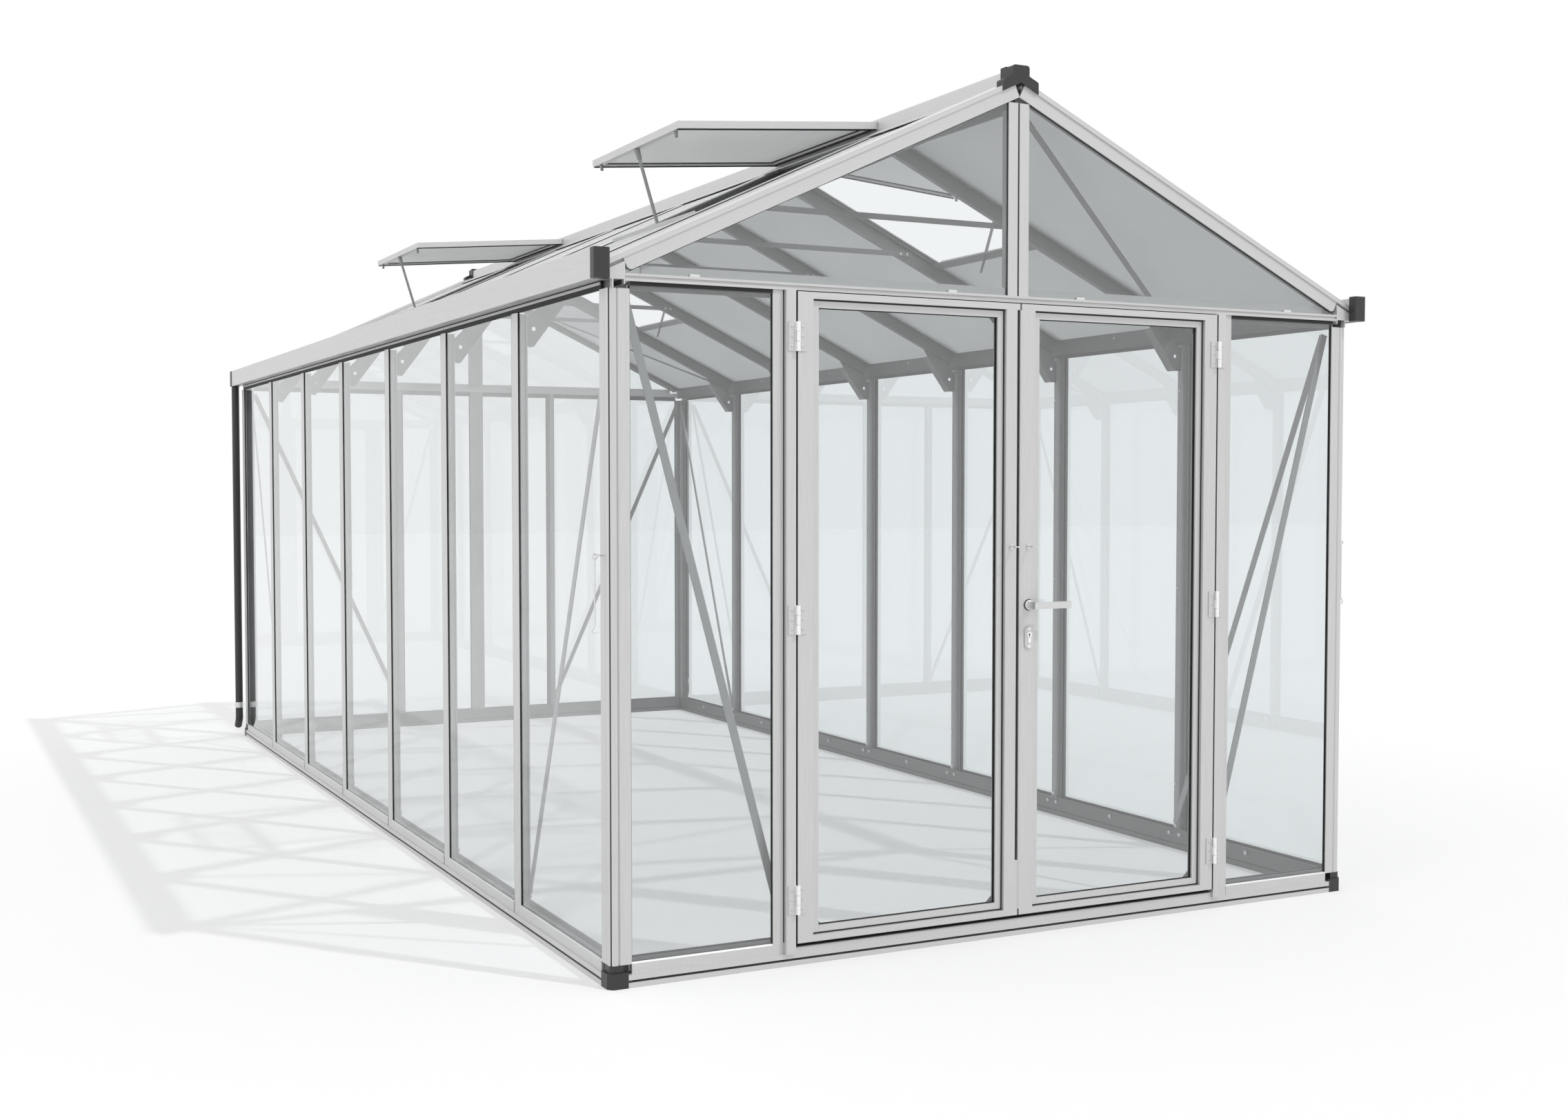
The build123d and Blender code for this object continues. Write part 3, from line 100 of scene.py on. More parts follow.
def ramp(tree_nodes, links, value, low, high, start=0.3, stop=0.7):
    """Turns a 0 to 1 value into a colour between two colours."""
    node = tree_nodes.new("ShaderNodeValToRGB")
    node.color_ramp.elements[0].position = start
    node.color_ramp.elements[1].position = stop
    node.color_ramp.elements[0].color = (*low, 1.0)
    node.color_ramp.elements[1].color = (*high, 1.0)
    links.new(value, node.inputs["Fac"])
    return node.outputs["Color"]


def bump(tree_nodes, links, value, shader, strength, distance):
    """Small surface relief from a value."""
    node = tree_nodes.new("ShaderNodeBump")
    node.inputs["Strength"].default_value = strength
    node.inputs["Distance"].default_value = distance
    links.new(value, node.inputs["Height"])
    links.new(node.outputs["Normal"], shader.inputs["Normal"])


# %% [markdown]
# The bars are mill-finish aluminium extrusions with a satin grain. Fine lines run along each bar from the
# die, so there is one finish for upright bars, one for bars along the house and one for bars across it. A
# little diffuse colour is kept in the mix: a full mirror metal would turn as white as the studio. The faces
# inside the glass are darkened by a painted shade for the dim inside of the house, so the finish asks where
# it lies; the lintels take only a slight painted shade inside. Sloped bars lie along none of these axes, so
# their grain has no direction.

# %% Satin aluminium
ALUMINIUM_DARK = (0.585, 0.585, 0.585)
ALUMINIUM_LIGHT = (0.64, 0.64, 0.638)
UPRIGHT_INSIDE_SHADE = 0.62
LENGTH_INSIDE_SHADE = 0.29
CROSS_INSIDE_SHADE = 0.34
LINTEL_INSIDE_SHADE = 0.90
ALUMINIUM_ROUGHNESS = 0.45
ALUMINIUM_METALLIC = 0.45
PITCH = math.radians(25.0)
ROOF_SLOPE = math.tan(PITCH)
WITHIN_PANE = 0.003
INNER_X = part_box("wall_glass")[1].x - WITHIN_PANE
INNER_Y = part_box("gable_glass")[1].y - WITHIN_PANE
INNER_APEX = 2.608
GRAIN_SCALE = 420.0
GRAIN_DETAIL = 3.0
GRAIN_RELIEF = 0.08
GRAIN_DEPTH = 0.0004
EVEN = (1.0, 1.0, 1.0)
DRAWN_OUT = 0.02


def math_node(tree_nodes, links, operation, first, second):
    """A Math node; the second input is a socket or a number."""
    node = tree_nodes.new("ShaderNodeMath")
    node.operation = operation
    links.new(first, node.inputs[0])
    if isinstance(second, float):
        node.inputs[1].default_value = second
    else:
        links.new(second, node.inputs[1])
    return node.outputs["Value"]


def object_axes(tree_nodes, links):
    """The Object coordinates as three separate values."""
    coords = tree_nodes.new("ShaderNodeTexCoord")
    split = tree_nodes.new("ShaderNodeSeparateXYZ")
    links.new(coords.outputs["Object"], split.inputs["Vector"])
    return split


def mixed(tree_nodes, links, share, first, second):
    """A colour between two colours by a 0 to 1 share."""
    mix = tree_nodes.new("ShaderNodeMixRGB")
    links.new(share, mix.inputs["Fac"])
    links.new(first, mix.inputs["Color1"])
    links.new(second, mix.inputs["Color2"])
    return mix.outputs["Color"]


def painted_shade_mask(tree_nodes, links):
    """One where a point lies within the glass of the walls and under the roof sheets, where the bars take a
    painted shade.
    """
    split = object_axes(tree_nodes, links)
    across = math_node(tree_nodes, links, "ABSOLUTE", split.outputs["X"], 0.0)
    along = math_node(tree_nodes, links, "ABSOLUTE", split.outputs["Y"], 0.0)
    fall = math_node(tree_nodes, links, "MULTIPLY", across, ROOF_SLOPE)
    roof = math_node(tree_nodes, links, "ADD", split.outputs["Z"], fall)
    within_x = math_node(tree_nodes, links, "LESS_THAN", across, INNER_X)
    within_y = math_node(tree_nodes, links, "LESS_THAN", along, INNER_Y)
    within_z = math_node(tree_nodes, links, "LESS_THAN", roof, INNER_APEX)
    walls = math_node(tree_nodes, links, "MULTIPLY", within_x, within_y)
    return math_node(tree_nodes, links, "MULTIPLY", walls, within_z)


def satin_aluminium(name, stretch, inside_shade):
    """Aluminium whose grain is drawn out along one axis, with a painted shade that darkens it inside the house.
    """
    finish, tree_nodes, links, shader = new_finish(
        name, ALUMINIUM_LIGHT, ALUMINIUM_ROUGHNESS, ALUMINIUM_METALLIC)
    grain = object_noise(tree_nodes, links, GRAIN_SCALE, stretch, GRAIN_DETAIL)
    brushed = ramp(tree_nodes, links, grain, ALUMINIUM_DARK, ALUMINIUM_LIGHT)
    # Inside the glass the grain's tone takes a painted shade.
    shaded = ramp(tree_nodes, links, grain, [tone * inside_shade for tone in ALUMINIUM_DARK],
               [tone * inside_shade for tone in ALUMINIUM_LIGHT])
    tone = mixed(tree_nodes, links, painted_shade_mask(tree_nodes, links), brushed, shaded)
    links.new(tone, shader.inputs["Base Color"])
    bump(tree_nodes, links, grain, shader, GRAIN_RELIEF, GRAIN_DEPTH)
    return finish


upright_aluminium = satin_aluminium("upright_aluminium", (1.0, 1.0, DRAWN_OUT), UPRIGHT_INSIDE_SHADE)
length_aluminium = satin_aluminium("length_aluminium", (1.0, DRAWN_OUT, 1.0), LENGTH_INSIDE_SHADE)
cross_aluminium = satin_aluminium("cross_aluminium", (DRAWN_OUT, 1.0, 1.0), CROSS_INSIDE_SHADE)
lintel_aluminium = satin_aluminium("lintel_aluminium", (DRAWN_OUT, 1.0, 1.0), LINTEL_INSIDE_SHADE)
sloped_aluminium = satin_aluminium("sloped_aluminium", EVEN, CROSS_INSIDE_SHADE)
print("aluminium finishes", upright_aluminium.name, length_aluminium.name, cross_aluminium.name,
      lintel_aluminium.name, sloped_aluminium.name)

# %% [markdown]
# Corner caps, gutter boxes, downpipes and ridge caps are moulded in black plastic with a slight grain. The
# strips beside the panes are softer rubber, with almost no shine. Both are a dark ramp over noise, and the
# noise also lifts the surface a little, which breaks up the highlights as a mould's grain does. The white
# plastic of the panes' setting blocks is made in the same way.

# %% Black plastic, rubber and white plastic
MOULD_DEPTH = 0.0003


def grained_finish(name, dark, light, roughness, scale, relief, metallic=0.0):
    """A finish whose colour and relief follow the same fine noise."""
    finish, tree_nodes, links, shader = new_finish(name, light, roughness, metallic)
    grain = object_noise(tree_nodes, links, scale, detail=GRAIN_DETAIL)
    links.new(ramp(tree_nodes, links, grain, dark, light), shader.inputs["Base Color"])
    bump(tree_nodes, links, grain, shader, relief, MOULD_DEPTH)
    return finish


black_plastic = grained_finish("black_plastic", (0.022, 0.022, 0.024), (0.036, 0.036, 0.039),
                               roughness=0.42, scale=900.0, relief=0.15)
black_rubber = grained_finish("black_rubber", (0.010, 0.010, 0.010), (0.020, 0.020, 0.020),
                              roughness=0.70, scale=500.0, relief=0.10)
white_plastic = grained_finish("white_plastic", (0.72, 0.72, 0.71), (0.78, 0.78, 0.77),
                               roughness=0.40, scale=700.0, relief=0.05)
print("plastics", black_plastic.name, black_rubber.name, white_plastic.name)

# %% [markdown]
# Eyes and stay hooks are bright plated steel, and the lever is satin. Both are metals with a cloudy, barely
# visible mottle, so they use the same helper with a metallic value of one. The stays of the vents are
# duller, as bare steel turns outdoors.

# %% Bright and satin fittings
bright_steel = grained_finish("bright_steel", (0.64, 0.64, 0.65), (0.74, 0.74, 0.74),
                              roughness=0.20, scale=160.0, relief=0.02, metallic=1.0)
satin_fittings = grained_finish("satin_fittings", (0.60, 0.60, 0.61), (0.72, 0.72, 0.72),
                                roughness=0.30, scale=320.0, relief=0.03, metallic=1.0)
dull_steel = grained_finish("dull_steel", (0.24, 0.24, 0.245), (0.32, 0.32, 0.32),
                            roughness=0.50, scale=240.0, relief=0.04, metallic=0.5)
print("fittings", bright_steel.name, satin_fittings.name, dull_steel.name)

# %% [markdown]
# A hinge's wings match the bars, but its knuckles are smoother from use and near white; the near-white tone
# is a painted highlight. In the same way the lock's cylinder takes that smoother, near-white tone on a satin
# plate. Each is one solid, so one finish carries both tones and picks them by where a point lies.

# %% Hinges and lock
HINGE_AXIS = 0.769
KNUCKLE_HALF = 0.0075
CYLINDER_OUT = 0.001
LOCK_PLATE_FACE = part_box("right_leaf_lock")[0].y + CYLINDER_OUT
POLISH_AND_HIGHLIGHT_DARK = (0.90, 0.90, 0.90)
POLISH_AND_HIGHLIGHT_LIGHT = (0.96, 0.96, 0.96)
POLISH_ROUGHNESS = 0.35
POLISH_SCALE = 320.0
POLISH_RELIEF = 0.03


def polish_and_highlight_parts(name, where):
    """Satin metal that is smoother where the given share is one, with a near-white tone there that is a painted
    highlight.
    """
    finish, tree_nodes, links, shader = new_finish(
        name, ALUMINIUM_LIGHT, POLISH_ROUGHNESS, ALUMINIUM_METALLIC)
    grain = object_noise(tree_nodes, links, POLISH_SCALE, detail=GRAIN_DETAIL)
    plain = ramp(tree_nodes, links, grain, ALUMINIUM_DARK, ALUMINIUM_LIGHT)
    highlit_tone = ramp(tree_nodes, links, grain, POLISH_AND_HIGHLIGHT_DARK, POLISH_AND_HIGHLIGHT_LIGHT)
    tone = mixed(tree_nodes, links, where(tree_nodes, links), plain, highlit_tone)
    links.new(tone, shader.inputs["Base Color"])
    bump(tree_nodes, links, grain, shader, POLISH_RELIEF, MOULD_DEPTH)
    return finish


def at_knuckle(tree_nodes, links):
    """One within a knuckle's half width of either hinge axis."""
    split = object_axes(tree_nodes, links)
    across = math_node(tree_nodes, links, "ABSOLUTE", split.outputs["X"], 0.0)
    offset = math_node(tree_nodes, links, "SUBTRACT", across, HINGE_AXIS)
    distance = math_node(tree_nodes, links, "ABSOLUTE", offset, 0.0)
    return math_node(tree_nodes, links, "LESS_THAN", distance, KNUCKLE_HALF)


def at_cylinder(tree_nodes, links):
    """One in front of the lock plate's face, where the cylinder stands out."""
    split = object_axes(tree_nodes, links)
    return math_node(tree_nodes, links, "LESS_THAN", split.outputs["Y"], LOCK_PLATE_FACE)


hinge_metal = polish_and_highlight_parts("hinge_metal", at_knuckle)
lock_metal = polish_and_highlight_parts("lock_metal", at_cylinder)
# The lock's screws take the same near-white tone, a painted highlight, on a smoother surface.
polished_steel = grained_finish("polished_steel", POLISH_AND_HIGHLIGHT_DARK, POLISH_AND_HIGHLIGHT_LIGHT,
                                roughness=0.30, scale=POLISH_SCALE, relief=0.02, metallic=ALUMINIUM_METALLIC)
print("two-tone finishes", hinge_metal.name, lock_metal.name, polished_steel.name)

# %% [markdown]
# The panes are clear float glass, faintly blue-green in their thickness. A Transparent shader stands in for
# the light's own rays, so that the lamps reach the inside of the house. The roof sheets are milky: their
# shader is partly rough transmission, so the sky shows through as an even glow.

# %% Glass and roof sheet
GLASS_TINT = (0.86, 0.885, 0.895)
GLASS_PASS = (0.92, 0.94, 0.945)
GLASS_IOR = 1.8
SHEET_COLOR = (0.76, 0.765, 0.765)
SHEET_SHADE = (0.73, 0.735, 0.735)
SHEET_PASS = (0.90, 0.905, 0.905)
SHEET_IOR = 1.3
SHEET_TRANSMISSION = 0.40
SHEET_CLOUD = 6.0


def see_through(finish, pass_color):
    """Lets lamp light through a pane while the eye still meets its shader."""
    tree = finish.node_tree
    shader = tree.nodes["Principled BSDF"]
    path = tree.nodes.new("ShaderNodeLightPath")
    clear = tree.nodes.new("ShaderNodeBsdfTransparent")
    clear.inputs["Color"].default_value = (*pass_color, 1.0)
    mix = tree.nodes.new("ShaderNodeMixShader")
    tree.links.new(path.outputs["Is Shadow Ray"], mix.inputs["Fac"])
    tree.links.new(shader.outputs["BSDF"], mix.inputs[1])
    tree.links.new(clear.outputs["BSDF"], mix.inputs[2])
    tree.links.new(mix.outputs["Shader"], tree.nodes["Material Output"].inputs["Surface"])


clear_glass = new_finish("clear_glass", GLASS_TINT, 0.0)[0]
glass_shader = clear_glass.node_tree.nodes["Principled BSDF"]
glass_shader.inputs["Transmission Weight"].default_value = 1.0
glass_shader.inputs["IOR"].default_value = GLASS_IOR
see_through(clear_glass, GLASS_PASS)

frosted_sheet, sheet_nodes, sheet_links, sheet_shader = new_finish("frosted_sheet", SHEET_COLOR, 1.0)
sheet_shader.inputs["Transmission Weight"].default_value = SHEET_TRANSMISSION
sheet_shader.inputs["IOR"].default_value = SHEET_IOR
sheet_cloud = object_noise(sheet_nodes, sheet_links, SHEET_CLOUD)
sheet_links.new(ramp(sheet_nodes, sheet_links, sheet_cloud, SHEET_SHADE, SHEET_COLOR),
                sheet_shader.inputs["Base Color"])
see_through(frosted_sheet, SHEET_PASS)
print("panes", clear_glass.name, frosted_sheet.name)

# %% [markdown]
# Each node of the frame takes the finish of its real piece.

# %% Finishes on the frame's nodes
FINISHES = {
    upright_aluminium: ["corner_posts", "wall_posts", "front_jambs", "front_side_stiles", "king_posts",
                        "back_wall_posts", "left_leaf_stiles", "right_leaf_stiles", "left_leaf_beads",
                        "right_leaf_beads", "wall_braces"],
    length_aluminium: ["wall_channels", "eave_beams", "ridge_beam", "vent_sills", "vent_frames", "roof_braces",
                       "base_rails"],
    cross_aluminium: ["front_side_channels", "door_sill", "back_wall_channels", "collar_ties",
                      "left_leaf_rails", "right_leaf_rails"],
    lintel_aluminium: ["lintels"],
    sloped_aluminium: ["verges", "rafters", "knee_plates"],
    black_plastic: ["base_corner_caps", "gutter_end_caps", "downpipes", "ridge_end_caps"],
    black_rubber: ["wall_head_seals"],
    clear_glass: ["wall_glass", "front_side_glass", "back_wall_glass", "gable_glass", "left_leaf_glass",
                  "right_leaf_glass"],
    frosted_sheet: ["roof_sheets", "vent_panes"],
    hinge_metal: ["jamb_hinges", "left_leaf_hinges", "right_leaf_hinges"],
    bright_steel: ["left_leaf_eye", "right_leaf_eye", "stay_eyes", "left_stay_hook", "right_stay_hook"],
    satin_fittings: ["lever"],
    lock_metal: ["right_leaf_lock"],
    dull_steel: ["vent_stays"],
}
for finish, names in FINISHES.items():
    for name in names:
        nodes[name].data.materials.clear()
        nodes[name].data.materials.append(finish)
print("finished nodes", sum(len(names) for names in FINISHES.values()), "of", len(nodes))

# %% [markdown]
# The pieces that a maker fits last are strips, plates and screw heads. Each starts as a primitive, is
# shaped in edit mode and then joined with its like, so that a row of fifty screws is one piece in the
# outliner. The helpers below do by code what the hand does: clear the selection, pick faces by where they
# look, and join.

# %% Modelling helpers
EASED = 0.0005
FINE_EDGE = 0.0002
SMOOTH_ANGLE = math.radians(30.0)
FACING = 0.9


def clear_selection():
    """Leaves nothing selected, because an operator acts on all that is."""
    bpy.ops.object.select_all(action="DESELECT")


def pick_faces(piece, wanted):
    """Enters edit mode with only the faces selected whose normal is wanted."""
    bpy.ops.object.mode_set(mode="EDIT")
    bpy.ops.mesh.select_mode(type="FACE")
    bpy.ops.mesh.select_all(action="DESELECT")
    bpy.ops.object.mode_set(mode="OBJECT")
    for face in piece.data.polygons:
        face.select = wanted(face.normal)
    bpy.ops.object.mode_set(mode="EDIT")


def strip(start, stop, width, height, out, edge=EASED):
    """A bar with eased edges, laid from start to stop and standing out by its height."""
    start = Vector(start)
    stop = Vector(stop)
    out = Vector(out).normalized()
    along = (stop - start).normalized()
    across = out.cross(along)
    clear_selection()
    bpy.ops.mesh.primitive_cube_add(size=1.0)
    bar = bpy.context.object
    bar.scale = ((stop - start).length, width, height)
    bpy.ops.object.transform_apply(scale=True)
    bpy.ops.object.mode_set(mode="EDIT")
    bpy.ops.mesh.select_all(action="SELECT")
    bpy.ops.mesh.bevel(offset=edge, segments=1)
    bpy.ops.object.mode_set(mode="OBJECT")
    turn = Matrix((along, across, out)).transposed().to_4x4()
    bar.matrix_world = Matrix.Translation((start + stop) / 2 + out * height / 2) @ turn
    bpy.ops.object.transform_apply(location=True, rotation=True)
    return bar


def stand(piece, spot, out):
    """A copy with its own mesh, its foot on the spot and its +Z turned to look outwards."""
    twin = bpy.data.objects.new(piece.name, piece.data.copy())
    turn = Vector(out).to_track_quat("Z", "Y").to_matrix().to_4x4()
    twin.data.transform(Matrix.Translation(Vector(spot)) @ turn)
    bpy.context.collection.objects.link(twin)
    return twin


def gather(name, pieces, body, finish):
    """Joins pieces into one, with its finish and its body."""
    clear_selection()
    for piece in pieces:
        piece.select_set(True)
    bpy.context.view_layer.objects.active = pieces[0]
    bpy.ops.object.join()
    whole = bpy.context.object
    whole.name = name
    whole.data.materials.clear()
    whole.data.materials.append(finish)
    bpy.ops.object.shade_smooth_by_angle(angle=SMOOTH_ANGLE)
    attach(whole, body)
    print(name, "of", len(pieces), "pieces,", len(whole.data.polygons), "faces")


def gather_rubber(name, pieces, body="house"):
    """Joins strips of black rubber, as most gaskets and seals are."""
    gather(name, pieces, body, black_rubber)


# %% [markdown]
# Places come from the frame: the outer face of the panes, the edges of the posts and the heights of the
# channels. The bays are equal, so the lines of the posts and the middles of the bays follow from one
# length.

# %% Measures taken from the frame
BAY = 0.800
BAY_COUNT = 7
BEAD_HEIGHT = 0.033
PANE = 0.004
SIDES = (-1, 1)
post_lines = [BAY * (i + 1 - BAY_COUNT / 2) for i in range(BAY_COUNT - 1)]
bay_lines = [BAY * (i + 0.5 - BAY_COUNT / 2) for i in range(BAY_COUNT)]
pane_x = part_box("wall_glass")[1].x
pane_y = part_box("gable_glass")[1].y
cap_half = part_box("wall_posts")[1].y - post_lines[-1]
corner_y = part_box("wall_channels")[1].y
corner_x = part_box("front_side_channels")[1].x
stile_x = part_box("front_side_stiles")[1].x
base_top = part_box("wall_channels")[0].z
bead_top = base_top + BEAD_HEIGHT
post_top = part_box("wall_posts")[1].z
lintel_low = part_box("lintels")[0].z
king_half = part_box("king_posts")[1].x
king_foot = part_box("king_posts")[0].z
king_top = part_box("king_posts")[1].z
print("panes at x", round(pane_x, 4), "y", round(pane_y, 4), "post cap half width", round(cap_half, 4))

# %% [markdown]
# A black rubber gasket lies between every pane and the bars that hold it. It shows as a dark line along
# each bar, outside and again inside. A thin strip on the pane, close against the bar, gives that line real
# depth, so it shows from every side.

# %% Gaskets of the side walls
GASKET = 0.0019
GASKET_OUT = 0.0032
GASKET_IN = 0.0040
FLANGE_HALF = 0.020

gaskets = []
for side in SIDES:
    edges = [(line + way * (cap_half + GASKET / 2), line + way * (FLANGE_HALF + GASKET / 2))
             for line in post_lines for way in SIDES]
    edges += [(way * (corner_y - GASKET / 2), way * (corner_y - GASKET / 2)) for way in SIDES]
    for outer_y, inner_y in edges:
        outer_x = side * pane_x
        inner_x = side * (pane_x - PANE)
        gaskets.append(strip((outer_x, outer_y, bead_top), (outer_x, outer_y, post_top),
                             GASKET, GASKET_OUT, (side, 0, 0)))
        gaskets.append(strip((inner_x, inner_y, bead_top), (inner_x, inner_y, post_top),
                             GASKET, GASKET_IN, (-side, 0, 0)))
gather_rubber("side_wall_gaskets", gaskets)

# %% Gaskets of the front and back walls
BACK_POST_X = 0.460
HEAD_LIP = 0.011
back_cap_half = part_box("back_wall_posts")[1].x - BACK_POST_X

gaskets = []
front_edges = [stile_x + GASKET / 2, corner_x - GASKET / 2]
back_edges = [king_half + GASKET / 2, BACK_POST_X - back_cap_half - GASKET / 2,
              BACK_POST_X + back_cap_half + GASKET / 2, corner_x - GASKET / 2]
for end, edges in ((-1, front_edges), (1, back_edges)):
    for side in SIDES:
        for x in edges:
            for y, out, height in ((pane_y, 1, GASKET_OUT), (pane_y - PANE, -1, GASKET_IN)):
                gaskets.append(strip((side * x, end * y, bead_top), (side * x, end * y, lintel_low - HEAD_LIP),
                                     GASKET, height, (0, end * out, 0)))
gather_rubber("end_wall_gaskets", gaskets)

# %% [markdown]
# In the gables the gasket follows the king post and the lower edge of the verge bars. The verge runs down
# the slope, so its strip is laid between two points that are worked out from the roof's pitch. A flat
# rubber filling lies in the groove of the king post.

# %% Gaskets of the gables
VERGE_DROP = 0.038
VERGE_END = 0.015
KING_GROOVE = 0.0056
KING_GROOVE_DEPTH = 0.005
KING_FILLING = 0.0015
ROOF_APEX = 2.616
slope_cos = math.cos(PITCH)
slope_sin = math.sin(PITCH)


def on_slope(side, along, y, rise):
    """A point down a slope from the ridge line, raised square to the roof."""
    return (side * (along * slope_cos + rise * slope_sin), y, ROOF_APEX - along * slope_sin + rise * slope_cos)


verge_start = (king_half + VERGE_DROP * slope_sin) / slope_cos
verge_stop = (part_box("gable_glass")[1].x + VERGE_DROP * slope_sin) / slope_cos - VERGE_END
gaskets = []
for end in SIDES:
    for side in SIDES:
        x = side * (king_half + GASKET / 2)
        gaskets.append(strip((x, end * pane_y, king_foot), (x, end * pane_y, king_top), GASKET, GASKET_OUT,
                             (0, end, 0)))
        low = -VERGE_DROP - GASKET / 2
        gaskets.append(strip(on_slope(side, verge_start, end * pane_y, low),
                             on_slope(side, verge_stop, end * pane_y, low), GASKET, GASKET_OUT, (0, end, 0)))
    groove_y = end * (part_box("king_posts")[1].y - KING_GROOVE_DEPTH)
    gaskets.append(strip((0, groove_y, king_foot), (0, groove_y, king_top), KING_GROOVE, KING_FILLING,
                         (0, end, 0)))
gather_rubber("gable_gaskets", gaskets)

# %% [markdown]
# On the roof the caps of the rafters press on gaskets too. In the bays with a vent the strip starts at the
# vent's sill, because there is no sheet above it.

# %% Gaskets of the roof
VENT_LINES = (-1.6, 1.6)
VENT_SILL = 0.700
RIDGE_WING = 0.080
SHEET_INSET = 0.006
ROOF_GASKET_OUT = 0.0030
SAME_LINE = 0.01
sheet_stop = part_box("roof_sheets")[1].x / slope_cos

gaskets = []
for side in SIDES:
    for line in post_lines:
        for way in SIDES:
            beside_vent = any(abs(line + way * BAY / 2 - vent) < SAME_LINE for vent in VENT_LINES)
            start = (VENT_SILL if beside_vent else RIDGE_WING) / slope_cos + SHEET_INSET
            y = line + way * (cap_half + GASKET / 2)
            gaskets.append(strip(on_slope(side, start, y, 0.0), on_slope(side, sheet_stop, y, 0.0),
                                 GASKET, ROOF_GASKET_OUT, (side * slope_sin, 0, slope_cos)))
gather_rubber("roof_gaskets", gaskets)

# %% [markdown]
# A black strip closes the joint under the lintel over both side panels; its black is also a painted shadow
# of the gap there. It lies flat on the lip of the head channel, and the back wall has the same.

# %% Strips under the lintels
LIP_SETBACK = 0.001
LINTEL_SEAL_AND_SHADE_OUT = 0.0015
lip_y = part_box("front_side_channels")[0].y + LIP_SETBACK
level = lintel_low - HEAD_LIP / 2
seals = []
for side in SIDES:
    seals.append(strip((side * stile_x, lip_y, level), (side * corner_x, lip_y, level),
                       HEAD_LIP, LINTEL_SEAL_AND_SHADE_OUT, (0, -1, 0)))
    seals.append(strip((side * (king_half + GASKET), -lip_y, level), (side * corner_x, -lip_y, level),
                       HEAD_LIP, LINTEL_SEAL_AND_SHADE_OUT, (0, 1, 0)))
gather_rubber("lintel_seals_and_shade", seals)

# %% [markdown]
# Each gable pane stands on two white setting blocks on the lintel, small and moulded with eased edges.

# %% Setting blocks of the gable panes
BLOCK_PLACES = (0.235, 1.080)
BLOCK_LENGTH = 0.030
BLOCK_HEIGHT = 0.008
BLOCK_DEPTH = 0.006
BLOCK_EDGE = 0.001
lintel_top = king_foot

blocks = []
for end in SIDES:
    y = end * (pane_y + BLOCK_DEPTH / 2)
    for side in SIDES:
        for x in BLOCK_PLACES:
            start = (side * x - BLOCK_LENGTH / 2, y, lintel_top)
            stop = (side * x + BLOCK_LENGTH / 2, y, lintel_top)
            blocks.append(strip(start, stop, BLOCK_DEPTH, BLOCK_HEIGHT, (0, 0, 1), BLOCK_EDGE))
gather("setting_blocks", blocks, "house", white_plastic)

# %% [markdown]
# A leaf has gaskets round its pane, a black strip between the bead and the frame that is painted shade in
# the groove there, and a flat triangular plate in each inner corner that keeps it square. One loop dresses
# both leaves, and each set rides on its leaf.

# %% Leaf gaskets and corner plates
LEAF_BEAD = 0.024
LEAF_GASKET_OUT = 0.004
BEAD_SHADE_LINE = 0.0045
BEAD_SHADE_OUT = 0.0012
PLATE_LEG = 0.066
PLATE_THICKNESS = 0.002
PLATE_EDGE = 0.0004


def frame_strips(low, high, inset, y, width, height, out):
    """Four strips round a rectangle, inset from its edges."""
    left = low.x + inset
    right = high.x - inset
    bottom = low.z + inset
    top = high.z - inset
    made = []
    for x in (left, right):
        made.append(strip((x, y, bottom - width / 2), (x, y, top + width / 2), width, height, (0, out, 0)))
    for z in (bottom, top):
        made.append(strip((left + width / 2, y, z), (right - width / 2, y, z), width, height, (0, out, 0)))
    return made


def corner_plate(x, z, way_x, way_z, y):
    """A right-angled triangular plate with its square corner at x, z."""
    clear_selection()
    bpy.ops.mesh.primitive_circle_add(vertices=3, radius=PLATE_LEG, fill_type="NGON")
    plate = bpy.context.object
    corners = ((x, y, z), (x + way_x * PLATE_LEG, y, z), (x, y, z + way_z * PLATE_LEG))
    for point, corner in zip(plate.data.vertices, corners):
        point.co = corner
    bpy.ops.object.mode_set(mode="EDIT")
    bpy.ops.mesh.select_all(action="SELECT")
    bpy.ops.mesh.extrude_region_move(TRANSFORM_OT_translate={"value": (0, PLATE_THICKNESS, 0)})
    bpy.ops.mesh.select_all(action="SELECT")
    bpy.ops.mesh.bevel(offset=PLATE_EDGE, segments=1)
    bpy.ops.mesh.select_all(action="SELECT")
    bpy.ops.mesh.normals_make_consistent(inside=False)
    bpy.ops.object.mode_set(mode="OBJECT")
    return plate


for leaf in ("left_leaf", "right_leaf"):
    low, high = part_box(leaf + "_beads")
    inset = LEAF_BEAD + GASKET / 2
    seals = frame_strips(low, high, inset, -pane_y, GASKET, LEAF_GASKET_OUT, -1)
    seals += frame_strips(low, high, inset, -pane_y + PANE, GASKET, LEAF_GASKET_OUT, 1)
    # The black strip between the bead and the frame is painted shade in that groove, joined with the gaskets.
    seals += frame_strips(low, high, BEAD_SHADE_LINE / 2, low.y, BEAD_SHADE_LINE, BEAD_SHADE_OUT, -1)
    gather_rubber(leaf + "_gaskets", seals, leaf)
    plates = [corner_plate(x, z, way_x, way_z, high.y)
              for x, way_x in ((low.x, 1), (high.x, -1)) for z, way_z in ((low.z, 1), (high.z, -1))]
    gather(leaf + "_corner_plates", plates, leaf, cross_aluminium)

# %% [markdown]
# Where the leaves meet, the right one carries a narrow cover strip, and the left one has a dark brush in
# its rebate. Short black seals close the gap between the rails at the top and at the foot.

